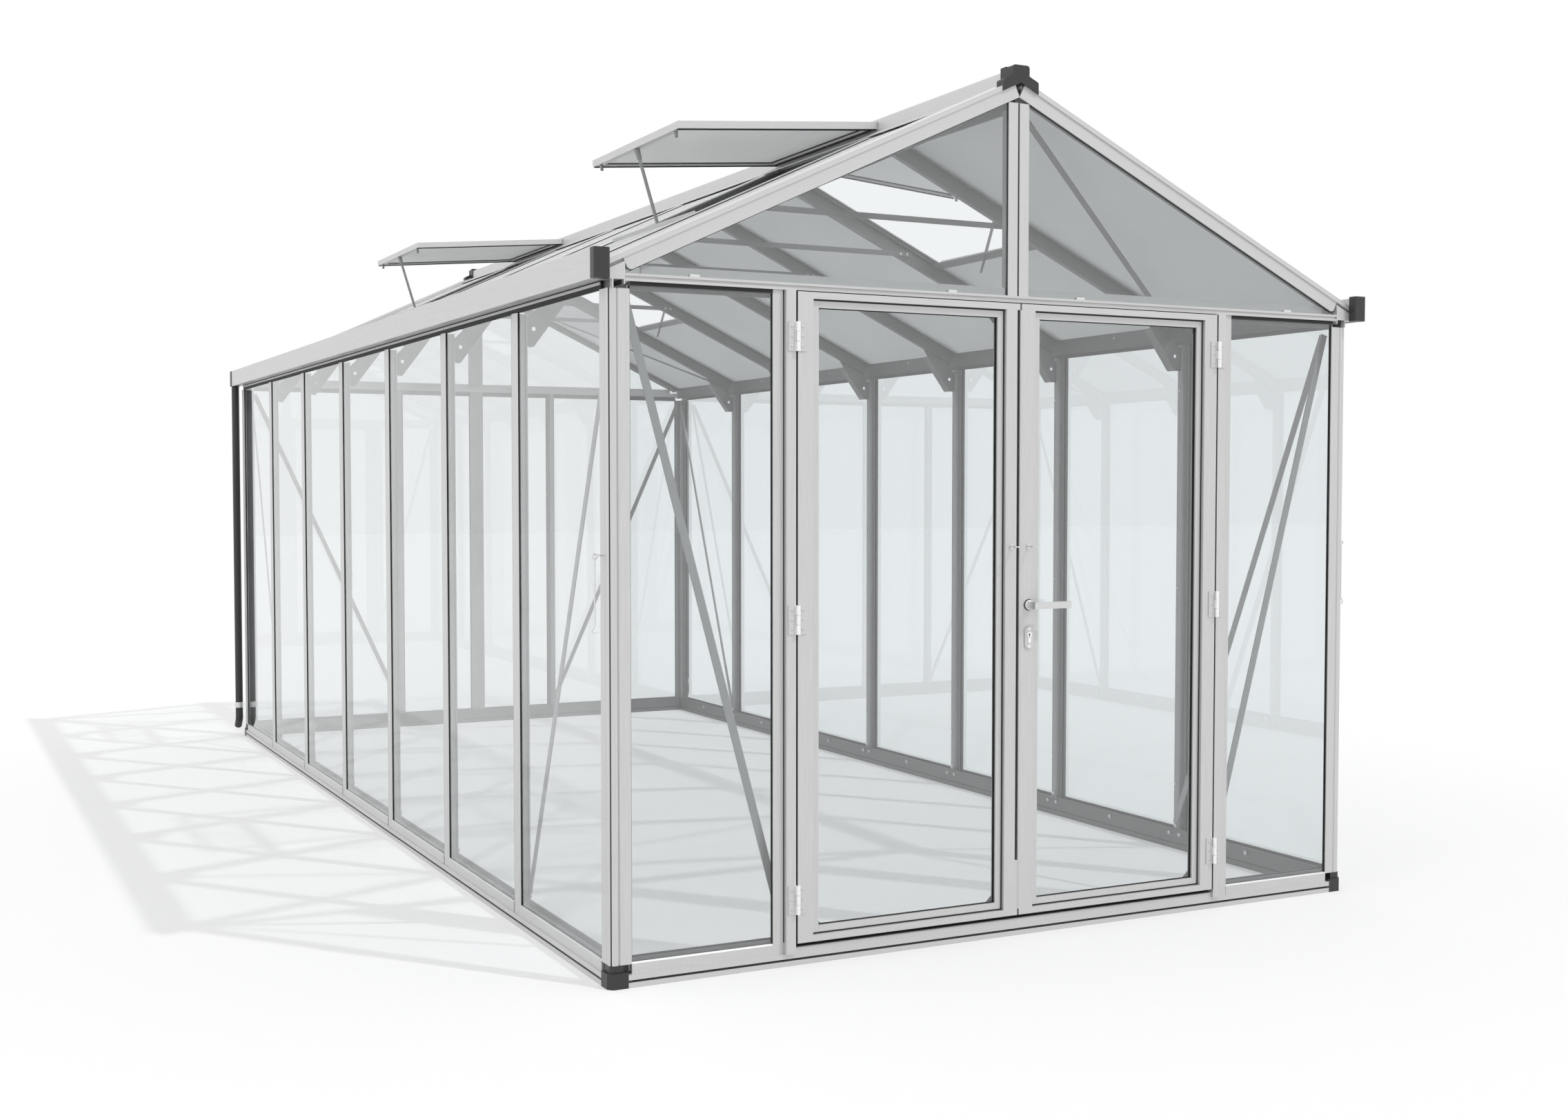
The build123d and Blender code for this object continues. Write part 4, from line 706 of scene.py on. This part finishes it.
# %% Meeting stiles
REBATE = 0.010
REBATE_FLOOR = 0.008
REBATE_RISE = 0.1525
BRUSH_PLAY = 0.0004
BRUSH_OUT = 0.002
COVER = 0.005
COVER_DEPTH = 0.006
SEAL_SETBACK = 0.020
SEAL_WIDTH = 0.012
rail_low, rail_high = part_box("left_leaf_rails")
stile_low, stile_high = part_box("left_leaf_stiles")
rebate_foot = stile_low.z + REBATE_RISE
right_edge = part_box("right_leaf_stiles")[0].x

brush_x = stile_high.x - REBATE / 2
brush_y = stile_low.y + REBATE_FLOOR
brush = strip((brush_x, brush_y, rebate_foot), (brush_x, brush_y, stile_high.z), REBATE - BRUSH_PLAY, BRUSH_OUT,
              (0, -1, 0))
gather_rubber("left_leaf_brush", [brush], "left_leaf")

cover_y = stile_low.y + COVER_DEPTH / 2
cover = strip((right_edge, cover_y, stile_low.z), (right_edge, cover_y, stile_high.z), COVER_DEPTH, COVER,
              (-1, 0, 0))
gather("meeting_cover", [cover], "right_leaf", upright_aluminium)

seal_y = stile_low.y + SEAL_SETBACK
seals = [strip((right_edge, seal_y, bottom), (right_edge, seal_y, top), SEAL_WIDTH, COVER, (-1, 0, 0))
         for bottom, top in ((rail_low.z, stile_low.z), (stile_high.z, rail_high.z))]
gather_rubber("meeting_seals", seals, "right_leaf")

# %% [markdown]
# Black draught strips line the gap round the doors. From the front they turn that gap into a dark outline.
# The house carries them on the jambs, under the lintel and on the sill; each leaf carries one on its hinged
# edge.

# %% Draught strips round the doors
DRAUGHT_WIDTH = 0.020
DRAUGHT_THICKNESS = 0.0008
DRAUGHT_INSET = 0.003
JAMB_WIDTH = 0.031
jamb_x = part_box("front_jambs")[1].x - JAMB_WIDTH
leaf_edge = -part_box("left_leaf_stiles")[0].x
strip_y = stile_low.y + DRAUGHT_INSET + DRAUGHT_WIDTH / 2
sill_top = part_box("door_sill")[1].z
strips = [strip((side * jamb_x, strip_y, rail_low.z), (side * jamb_x, strip_y, rail_high.z), DRAUGHT_WIDTH,
                DRAUGHT_THICKNESS, (-side, 0, 0), FINE_EDGE) for side in SIDES]
strips.append(strip((-leaf_edge, strip_y, lintel_low), (leaf_edge, strip_y, lintel_low), DRAUGHT_WIDTH,
                    DRAUGHT_THICKNESS, (0, 0, -1), FINE_EDGE))
strips.append(strip((-leaf_edge, strip_y, sill_top), (leaf_edge, strip_y, sill_top), DRAUGHT_WIDTH,
                    DRAUGHT_THICKNESS, (0, 0, 1), FINE_EDGE))
gather_rubber("door_draught_strips", strips)
for leaf, side in (("left_leaf", -1), ("right_leaf", 1)):
    edge = strip((side * leaf_edge, strip_y, rail_low.z), (side * leaf_edge, strip_y, rail_high.z),
                 DRAUGHT_WIDTH, DRAUGHT_THICKNESS, (side, 0, 0), FINE_EDGE)
    gather_rubber(leaf + "_draught_strip", [edge], leaf)

# %% [markdown]
# Screws and bolts hold the bars together, and their heads show on the inner lips, the base upstands, the
# eave beams and the ties. One head is modelled from a cylinder: the top face is inset and raised for the
# dome, then inset and sunk for the socket. The rest are copies.

# %% One screw head
def screw_head(name, radius, height):
    """A domed head with a socket, standing on the origin along +Z."""
    clear_selection()
    bpy.ops.mesh.primitive_cylinder_add(vertices=14, radius=radius, depth=height * 0.6,
                                        location=(0, 0, height * 0.3))
    head = bpy.context.object
    bpy.ops.object.transform_apply(location=True)
    pick_faces(head, lambda normal: normal.z > FACING)
    bpy.ops.mesh.inset(thickness=radius * 0.18, depth=height * 0.28)
    bpy.ops.mesh.inset(thickness=radius * 0.24, depth=height * 0.12)
    bpy.ops.mesh.inset(thickness=radius * 0.14)
    bpy.ops.mesh.inset(thickness=radius * 0.04, depth=-height * 0.5)
    bpy.ops.object.mode_set(mode="OBJECT")
    head.name = name
    return head


def set_heads(name, head, spots, body, finish):
    """Copies of one head at each spot with its direction; the model itself is removed."""
    heads = [stand(head, spot, out) for spot, out in spots]
    bpy.data.objects.remove(head)
    gather(name, heads, body, finish)


# %% Bolts inside the house
LIP_LEVELS = (0.250, 1.005, 1.757)
UPSTAND_LEVEL = 0.058
FOOT_PAIR = 0.030
FOOT_LEVEL = 0.090
LIP_X = 1.295
UPSTAND_X = 1.290
EAVE_LEVEL = 1.985
EAVE_X = 1.291
BOLT_RADIUS = 0.0055
BOLT_HEIGHT = 0.0045
BASE_BOLT_RADIUS = 0.0085
BASE_BOLT_HEIGHT = 0.0075

spots = []
base_spots = []
for side in SIDES:
    inwards = (-side, 0, 0)
    for line in post_lines:
        spots += [((side * LIP_X, line, level), inwards) for level in LIP_LEVELS]
        base_spots += [((side * UPSTAND_X, line + way * FOOT_PAIR, UPSTAND_LEVEL), inwards) for way in SIDES]
        base_spots.append(((side * LIP_X, line, FOOT_LEVEL), inwards))
    for line in bay_lines:
        base_spots.append(((side * UPSTAND_X, line, UPSTAND_LEVEL), inwards))
        spots.append(((side * EAVE_X, line, EAVE_LEVEL), inwards))
bolt = screw_head("bolt", BOLT_RADIUS, BOLT_HEIGHT)
set_heads("inner_bolts", bolt, spots, "house", bright_steel)
bolt = screw_head("bolt", BASE_BOLT_RADIUS, BASE_BOLT_HEIGHT)
set_heads("base_bolts", bolt, base_spots, "house", satin_fittings)

# %% Screws of the ties
TIE_BOLTS = (0.020, 0.050)
tie_low, tie_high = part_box("collar_ties")
tie_level = (tie_low.z + tie_high.z) / 2
spots = []
for line in post_lines:
    tie_y = tie_low.y + line - post_lines[0]
    for side in SIDES:
        spots += [((side * (tie_high.x - inset), tie_y, tie_level), (0, -1, 0)) for inset in TIE_BOLTS]
bolt = screw_head("bolt", BOLT_RADIUS, BOLT_HEIGHT)
set_heads("tie_bolts", bolt, spots, "house", bright_steel)

# %% [markdown]
# A hinge is held by three screws on each wing, and the lock's plate by one above and one below the
# cylinder.

# %% Hinge and lock screws
HINGE_LEVELS = (0.195, 1.0065, 1.818)
HINGE_SPREAD = 0.028
LEAF_WING_X = 0.752
JAMB_WING_X = 0.786
WING_THICKNESS = 0.003
SCREW_RADIUS = 0.0042
SCREW_HEIGHT = 0.0016
wing_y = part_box("left_leaf_hinges")[1].y - WING_THICKNESS
screw_levels = [level + step * HINGE_SPREAD for level in HINGE_LEVELS for step in (-1, 0, 1)]

for body, side in (("left_leaf", -1), ("right_leaf", 1)):
    spots = [((side * LEAF_WING_X, wing_y, level), (0, -1, 0)) for level in screw_levels]
    screw = screw_head("screw", SCREW_RADIUS, SCREW_HEIGHT)
    set_heads(body + "_hinge_screws", screw, spots, body, upright_aluminium)
spots = [((side * JAMB_WING_X, wing_y, level), (0, -1, 0)) for side in SIDES for level in screw_levels]
screw = screw_head("screw", SCREW_RADIUS, SCREW_HEIGHT)
set_heads("jamb_hinge_screws", screw, spots, "house", upright_aluminium)

LOCK_X = 0.033
LOCK_LEVEL = 0.9245
LOCK_SPREAD = 0.027
LOCK_PLATE = 0.005
LOCK_SCREW_RADIUS = 0.0048
LOCK_SCREW_HEIGHT = 0.0018
leaf_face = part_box("right_leaf_lock")[1].y
lock_y = leaf_face - LOCK_PLATE
spots = [((LOCK_X, lock_y, LOCK_LEVEL + way * LOCK_SPREAD), (0, -1, 0)) for way in SIDES]
screw = screw_head("screw", LOCK_SCREW_RADIUS, LOCK_SCREW_HEIGHT)
set_heads("lock_screws", screw, spots, "right_leaf", polished_steel)

# %% [markdown]
# The keyhole is dark inside: its core sits back from the cylinder's face, and the core is black, a painted
# shade in the keyhole. A black washer lies under the lever's rose; its two faces are inset and bridged, which
# cuts the round hole for the rose.

# %% Lock core and lever washer
KEYHOLE_RISE = 0.010
KEYHOLE_DROP = 0.009
CORE_DEPTH = 0.0066
CORE_RADIUS = 0.0031
CORE_WIDTH = 0.0023
CORE_EDGE = 0.0003
LEVER_LEVEL = 1.026
WASHER_RADIUS = 0.0172
WASHER_RING = 0.0020
WASHER = 0.0018
WASHER_EDGE = 0.0004
FLAT = 0.99

keyhole_level = LOCK_LEVEL + KEYHOLE_RISE
slot_low = (LOCK_X, leaf_face, keyhole_level - KEYHOLE_DROP)
slot_high = (LOCK_X, leaf_face, keyhole_level)
slot = strip(slot_low, slot_high, CORE_WIDTH, CORE_DEPTH, (0, -1, 0), CORE_EDGE)
core = screw_head("core", CORE_RADIUS, CORE_DEPTH)
bore = stand(core, slot_high, (0, -1, 0))
bpy.data.objects.remove(core)
gather("keyhole_shade_core", [slot, bore], "right_leaf", black_plastic)

clear_selection()
bpy.ops.mesh.primitive_cylinder_add(vertices=40, radius=WASHER_RADIUS, depth=WASHER)
disc = bpy.context.object
pick_faces(disc, lambda normal: abs(normal.z) > FACING)
bpy.ops.mesh.bevel(offset=WASHER_EDGE, segments=2)
bpy.ops.object.mode_set(mode="OBJECT")
pick_faces(disc, lambda normal: abs(normal.z) > FLAT)
bpy.ops.mesh.inset(thickness=WASHER_RING)
bpy.ops.mesh.bridge_edge_loops()
bpy.ops.object.mode_set(mode="OBJECT")
washer = stand(disc, (LOCK_X, leaf_face - WASHER / 2, LEVER_LEVEL), (0, -1, 0))
bpy.data.objects.remove(disc)
gather_rubber("lever_washer", [washer], "right_leaf")

# %% [markdown]
# Small trims finish the outside: a bright lip over the dark band below each gutter, a black strip in the
# groove of each corner post and another in the groove of the base rail, both painted shade in those grooves,
# a plug at each end of the base rail's strip, a thin joint line on the rail's inner face, and a dark joint
# beside each door jamb.

# %% Gutter lips, corner groove shades, base groove shades and jamb joints
LIP_WIDTH = 0.008
LIP_OUT = 0.0045
CORNER_SHADE_WIDTH = 0.0035
CORNER_SHADE_OUT = 0.0022
GROOVE = 0.006
PLUG = 0.012
GROOVE_LEVEL = 0.0185
GROOVE_HEIGHT = 0.007
GROOVE_DEPTH = 0.004
LINE_OUT = 0.0012
CAP_LEG = 0.059
JAMB_JOINT = 0.003

seal_low, seal_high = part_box("wall_head_seals")
lip_level = seal_high.z - LIP_WIDTH
lips = [strip((side * seal_high.x, seal_low.y, lip_level), (side * seal_high.x, seal_high.y, lip_level),
              LIP_WIDTH, LIP_OUT, (side, 0, 0)) for side in SIDES]
gather("gutter_lips", lips, "house", length_aluminium)

post_low, post_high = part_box("corner_posts")
# Black strips in the grooves of the corner posts: painted shade in the grooves.
corner_shades = []
for side in SIDES:
    for end in SIDES:
        x = side * (post_high.x - GROOVE)
        y = end * (post_high.y - GROOVE)
        corner_shades.append(strip((x, y, post_low.z), (x, y, post_high.z), CORNER_SHADE_WIDTH, CORNER_SHADE_OUT, (side, end, 0)))
gather_rubber("corner_groove_shades", corner_shades)

rail_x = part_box("base_rails")[1].x
rail_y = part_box("base_rails")[1].y
plugs = []
for side in SIDES:
    for end in SIDES:
        x = side * (rail_x - GROOVE_DEPTH)
        y = end * (rail_y - GROOVE_DEPTH)
        near_x = side * (rail_x - CAP_LEG)
        near_y = end * (rail_y - CAP_LEG)
        plugs.append(strip((x, near_y, GROOVE_LEVEL), (x, near_y - end * PLUG, GROOVE_LEVEL), GROOVE_HEIGHT,
                           GROOVE_DEPTH, (side, 0, 0)))
        plugs.append(strip((near_x, y, GROOVE_LEVEL), (near_x - side * PLUG, y, GROOVE_LEVEL), GROOVE_HEIGHT,
                           GROOVE_DEPTH, (0, end, 0)))
gather("base_plugs", plugs, "house", black_plastic)

# Black strips along the base rail's groove, between the plugs: painted shade in the groove.
lines = []
for way in SIDES:
    x = way * (rail_x - GROOVE_DEPTH)
    y = way * (rail_y - GROOVE_DEPTH)
    end_x = rail_x - CAP_LEG - PLUG
    end_y = rail_y - CAP_LEG - PLUG
    lines.append(strip((x, -end_y, GROOVE_LEVEL), (x, end_y, GROOVE_LEVEL), GROOVE_HEIGHT, LINE_OUT,
                       (way, 0, 0)))
    lines.append(strip((-end_x, y, GROOVE_LEVEL), (end_x, y, GROOVE_LEVEL), GROOVE_HEIGHT, LINE_OUT,
                       (0, way, 0)))
gather_rubber("base_groove_shades", lines)

BASE_DEPTH = 0.057
INNER_JOINT_LEVEL = 0.022
INNER_JOINT = 0.0028
INNER_JOINT_OUT = 0.0008
inner_x = rail_x - BASE_DEPTH
inner_y = rail_y - BASE_DEPTH
lines = []
for way in SIDES:
    x = way * inner_x
    y = way * inner_y
    lines.append(strip((x, -inner_y, INNER_JOINT_LEVEL), (x, inner_y, INNER_JOINT_LEVEL), INNER_JOINT,
                       INNER_JOINT_OUT, (-way, 0, 0), FINE_EDGE))
    lines.append(strip((-inner_x, y, INNER_JOINT_LEVEL), (inner_x, y, INNER_JOINT_LEVEL), INNER_JOINT,
                       INNER_JOINT_OUT, (0, -way, 0), FINE_EDGE))
gather_rubber("base_inner_joints", lines)

joint_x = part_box("front_jambs")[1].x + JAMB_JOINT / 2
joint_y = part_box("front_side_stiles")[0].y
joints = [strip((side * joint_x, joint_y, bead_top), (side * joint_x, joint_y, lintel_low), JAMB_JOINT,
                LINE_OUT, (0, -1, 0)) for side in SIDES]
gather_rubber("jamb_joints", joints)

# %% [markdown]
# A vent's stay is a rod with a turned collar at its head, and its tail hangs below the sill. Two short
# buffers under the free edge keep the flap off the sill when it is shut. Each is turned from a cone: its
# end face is inset and pushed out in two steps, and the copies are set along the directions of the rods.

# %% Vent stays and buffers
STAY_HEAD = (0.7605, 2.5595)
STAY_FOOT = (0.676, 2.278)
BUFFER_SPREAD = 0.340
TILT = math.radians(5.0)
COLLAR_SIZE = (0.0105, 0.0085, 0.036)
TAIL_SIZE = (0.0055, 0.0045, 0.070)
BUFFER_SIZE = (0.0065, 0.0055, 0.020)


def turned(name, radius, tip, length):
    """A turned peg that stands on the origin along +Z, with a stepped and eased end."""
    clear_selection()
    bpy.ops.mesh.primitive_cone_add(vertices=20, radius1=radius, radius2=tip, depth=length,
                                    location=(0, 0, length / 2))
    peg = bpy.context.object
    bpy.ops.object.transform_apply(location=True)
    pick_faces(peg, lambda normal: normal.z > FACING)
    bpy.ops.mesh.inset(thickness=tip * 0.15, depth=tip * 0.15)
    bpy.ops.mesh.inset(thickness=tip * 0.25, depth=tip * 0.10)
    bpy.ops.object.mode_set(mode="OBJECT")
    peg.name = name
    return peg


collar_spots = []
tail_spots = []
buffer_spots = []
for side in SIDES:
    head = Vector((side * STAY_HEAD[0], 0, STAY_HEAD[1]))
    foot = Vector((side * STAY_FOOT[0], 0, STAY_FOOT[1]))
    down = (foot - head).normalized()
    for line in VENT_LINES:
        shift = Vector((0, line, 0))
        collar_spots.append((head + shift, down))
        tail_spots.append((foot + shift, down))
        for way in SIDES:
            edge = Vector((side * STAY_HEAD[0], line + way * BUFFER_SPREAD, STAY_HEAD[1]))
            buffer_spots.append((edge, (-side * math.sin(TILT), 0, -math.cos(TILT))))
set_heads("stay_collars", turned("collar", *COLLAR_SIZE), collar_spots, "house", dull_steel)
set_heads("stay_tails", turned("tail", *TAIL_SIZE), tail_spots, "house", dull_steel)
set_heads("vent_buffers", turned("buffer", *BUFFER_SIZE), buffer_spots, "house", dull_steel)

# %% [markdown]
# A vent's pane is bedded in rubber under its rim, and a soft black strip runs below the rim at both ends and
# along the hinge: a seal where the shut flap lies on the roof, and also a painted shade along the rim's lower
# edge. The open flap tilts less than the roof, so its points are worked out from a tilt of its own.

# %% Vent gaskets and seals
VENT_LENGTH = 0.750
VENT_HALF = 0.394
VENT_RIM = 0.026
VENT_RIM_DEPTH = 0.024
VENT_LIP = 0.006
SHEET_THICKNESS = 0.008
VENT_PANE = VENT_LIP + SHEET_THICKNESS
VENT_BEDDING = 0.005
VENT_BEDDING_OUT = 0.003
VENT_SEAL_AND_SHADE_OUT = 0.004
tilt_cos = math.cos(TILT)
tilt_sin = math.sin(TILT)
flap_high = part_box("vent_frames")[1]
hinge_x = flap_high.x - VENT_LENGTH * tilt_cos
hinge_z = flap_high.z


def on_vent(side, along, y, rise):
    """A point down an open flap from its hinge, raised square to the flap."""
    reach = hinge_x + along * tilt_cos + rise * tilt_sin
    return (side * reach, y, hinge_z - along * tilt_sin + rise * tilt_cos)


inner = VENT_RIM + VENT_BEDDING / 2
outer = VENT_LENGTH - inner
gaskets = []
for side in SIDES:
    under = (-side * tilt_sin, 0, -tilt_cos)
    for line in VENT_LINES:
        for way in SIDES:
            y = line + way * (VENT_HALF - inner)
            gaskets.append(strip(on_vent(side, inner, y, -VENT_PANE), on_vent(side, outer, y, -VENT_PANE),
                                 VENT_BEDDING, VENT_BEDDING_OUT, under))
            # The strip below the rim is a seal and a painted shade along the rim's lower edge.
            y = line + way * (VENT_HALF - VENT_RIM / 2)
            gaskets.append(strip(on_vent(side, 0, y, -VENT_RIM_DEPTH),
                                 on_vent(side, VENT_LENGTH, y, -VENT_RIM_DEPTH),
                                 VENT_BEDDING, VENT_SEAL_AND_SHADE_OUT, under))
        near = line - VENT_HALF + VENT_RIM
        far = line + VENT_HALF - VENT_RIM
        for along in (inner, outer):
            gaskets.append(strip(on_vent(side, along, near, -VENT_PANE), on_vent(side, along, far, -VENT_PANE),
                                 VENT_BEDDING, VENT_BEDDING_OUT, under))
        gaskets.append(strip(on_vent(side, VENT_RIM / 2, near, -VENT_RIM_DEPTH),
                             on_vent(side, VENT_RIM / 2, far, -VENT_RIM_DEPTH),
                             VENT_BEDDING, VENT_SEAL_AND_SHADE_OUT, under))
gather_rubber("vent_gaskets", gaskets)

# %% [markdown]
# A grey band near the foot holds each downpipe to its corner. It is a short sleeve: a cylinder whose end
# faces are inset and sunk, so that it reads as a clip with thickness.

# %% Downpipe clips
PIPE_X = 1.3683
PIPE_Y = 2.846
CLIP_LEVEL = 0.155
CLIP_HEIGHT = 0.030
CLIP_RADIUS = 0.0225
CLIP_EASE = 0.0006
CLIP_CROWN = 0.0004
CLIP_WALL = 0.0015
CLIP_STEP = 0.0002
CLIP_SINK = 0.001

clear_selection()
bpy.ops.mesh.primitive_cylinder_add(vertices=32, radius=CLIP_RADIUS, depth=CLIP_HEIGHT,
                                    location=(0, 0, CLIP_HEIGHT / 2))
clip = bpy.context.object
bpy.ops.object.transform_apply(location=True)
pick_faces(clip, lambda normal: abs(normal.z) > FACING)
bpy.ops.mesh.inset(thickness=CLIP_EASE, depth=CLIP_CROWN)
bpy.ops.mesh.inset(thickness=CLIP_WALL)
bpy.ops.mesh.inset(thickness=CLIP_STEP, depth=-CLIP_SINK)
bpy.ops.object.mode_set(mode="OBJECT")
clip.name = "clip"
clip_spots = [((side * PIPE_X, PIPE_Y, CLIP_LEVEL), (0, 0, 1)) for side in SIDES]
set_heads("downpipe_clips", clip, clip_spots, "house", satin_fittings)

# %% [markdown]
# The studio is a wide white floor under an even white sky. A sun-like lamp from the front right draws crisp
# shadows, and a soft weak lamp from the left fills the long side. The floor and the sky show as plain white
# to the eye. The object itself is lit at a plain level: a floor that only glows for the eye keeps its
# shadows and adds no light to the bars.

# %% Studio floor
FLOOR_SIZE = 90.0
FLOOR_COLOR = (0.56, 0.56, 0.56)
FLOOR_ROUGHNESS = 0.9
FLOOR_GLOW = 0.32

clear_selection()
bpy.ops.mesh.primitive_plane_add(size=FLOOR_SIZE, location=(0.0, 0.0, 0.0))
floor = bpy.context.object
floor.name = "studio_floor"
floor_finish, floor_nodes, floor_links, floor_shader = new_finish(
    "studio_floor", FLOOR_COLOR, FLOOR_ROUGHNESS)
floor_shader.inputs["Specular IOR Level"].default_value = 0.0
floor_shader.inputs["Emission Color"].default_value = (1.0, 1.0, 1.0, 1.0)


def seen_by(tree_nodes, links, outputs):
    """One when any of the named kinds of ray meets the surface."""
    path = tree_nodes.new("ShaderNodeLightPath")
    seen = path.outputs[outputs[0]]
    for name in outputs[1:]:
        seen = math_node(tree_nodes, links, "MAXIMUM", seen, path.outputs[name])
    return seen


eye_rays = ["Is Camera Ray", "Is Glossy Ray", "Is Transmission Ray"]
floor_seen = seen_by(floor_nodes, floor_links, eye_rays)
glow = math_node(floor_nodes, floor_links, "MULTIPLY", floor_seen, FLOOR_GLOW)
floor_links.new(glow, floor_shader.inputs["Emission Strength"])
floor.data.materials.append(floor_finish)
print("floor", FLOOR_SIZE)

# %% Sky and sun
SKY_LIGHT = 0.92
SUN_LIGHT = 1.10
SUN_ANGLE = 1.2
SUN_TRAVEL = (-1.0, 1.27, -2.03)
FILL_LIGHT = 0.6
FILL_ANGLE = 60.0
FILL_TRAVEL = (1.0, -0.1, -0.45)
LAMP_DISTANCE = 4.0

world = bpy.data.worlds.new("studio")
bpy.context.scene.world = world
world.use_nodes = True
sky_nodes = world.node_tree.nodes
sky_links = world.node_tree.links
sky = sky_nodes["Background"]
sky.inputs["Color"].default_value = (1.0, 1.0, 1.0, 1.0)
strength = sky_nodes.new("ShaderNodeMapRange")
strength.inputs["To Min"].default_value = SKY_LIGHT
strength.inputs["To Max"].default_value = 1.0
sky_links.new(seen_by(sky_nodes, sky_links, eye_rays), strength.inputs["Value"])
sky_links.new(strength.outputs["Result"], sky.inputs["Strength"])


def far_lamp(name, energy, angle, travel):
    """A lamp whose light arrives parallel; a wide angle makes it soft."""
    bpy.ops.object.light_add(type="SUN", location=Vector(travel) * -LAMP_DISTANCE)
    lamp = bpy.context.object
    lamp.name = name
    lamp.data.energy = energy
    lamp.data.angle = math.radians(angle)
    lamp.rotation_euler = Vector(travel).to_track_quat("-Z", "Y").to_euler()


far_lamp("sun_lamp", SUN_LIGHT, SUN_ANGLE, SUN_TRAVEL)
far_lamp("fill_lamp", FILL_LIGHT, FILL_ANGLE, FILL_TRAVEL)

bpy.context.scene.view_settings.view_transform = "Standard"
print("sky", SKY_LIGHT, "sun", SUN_LIGHT)
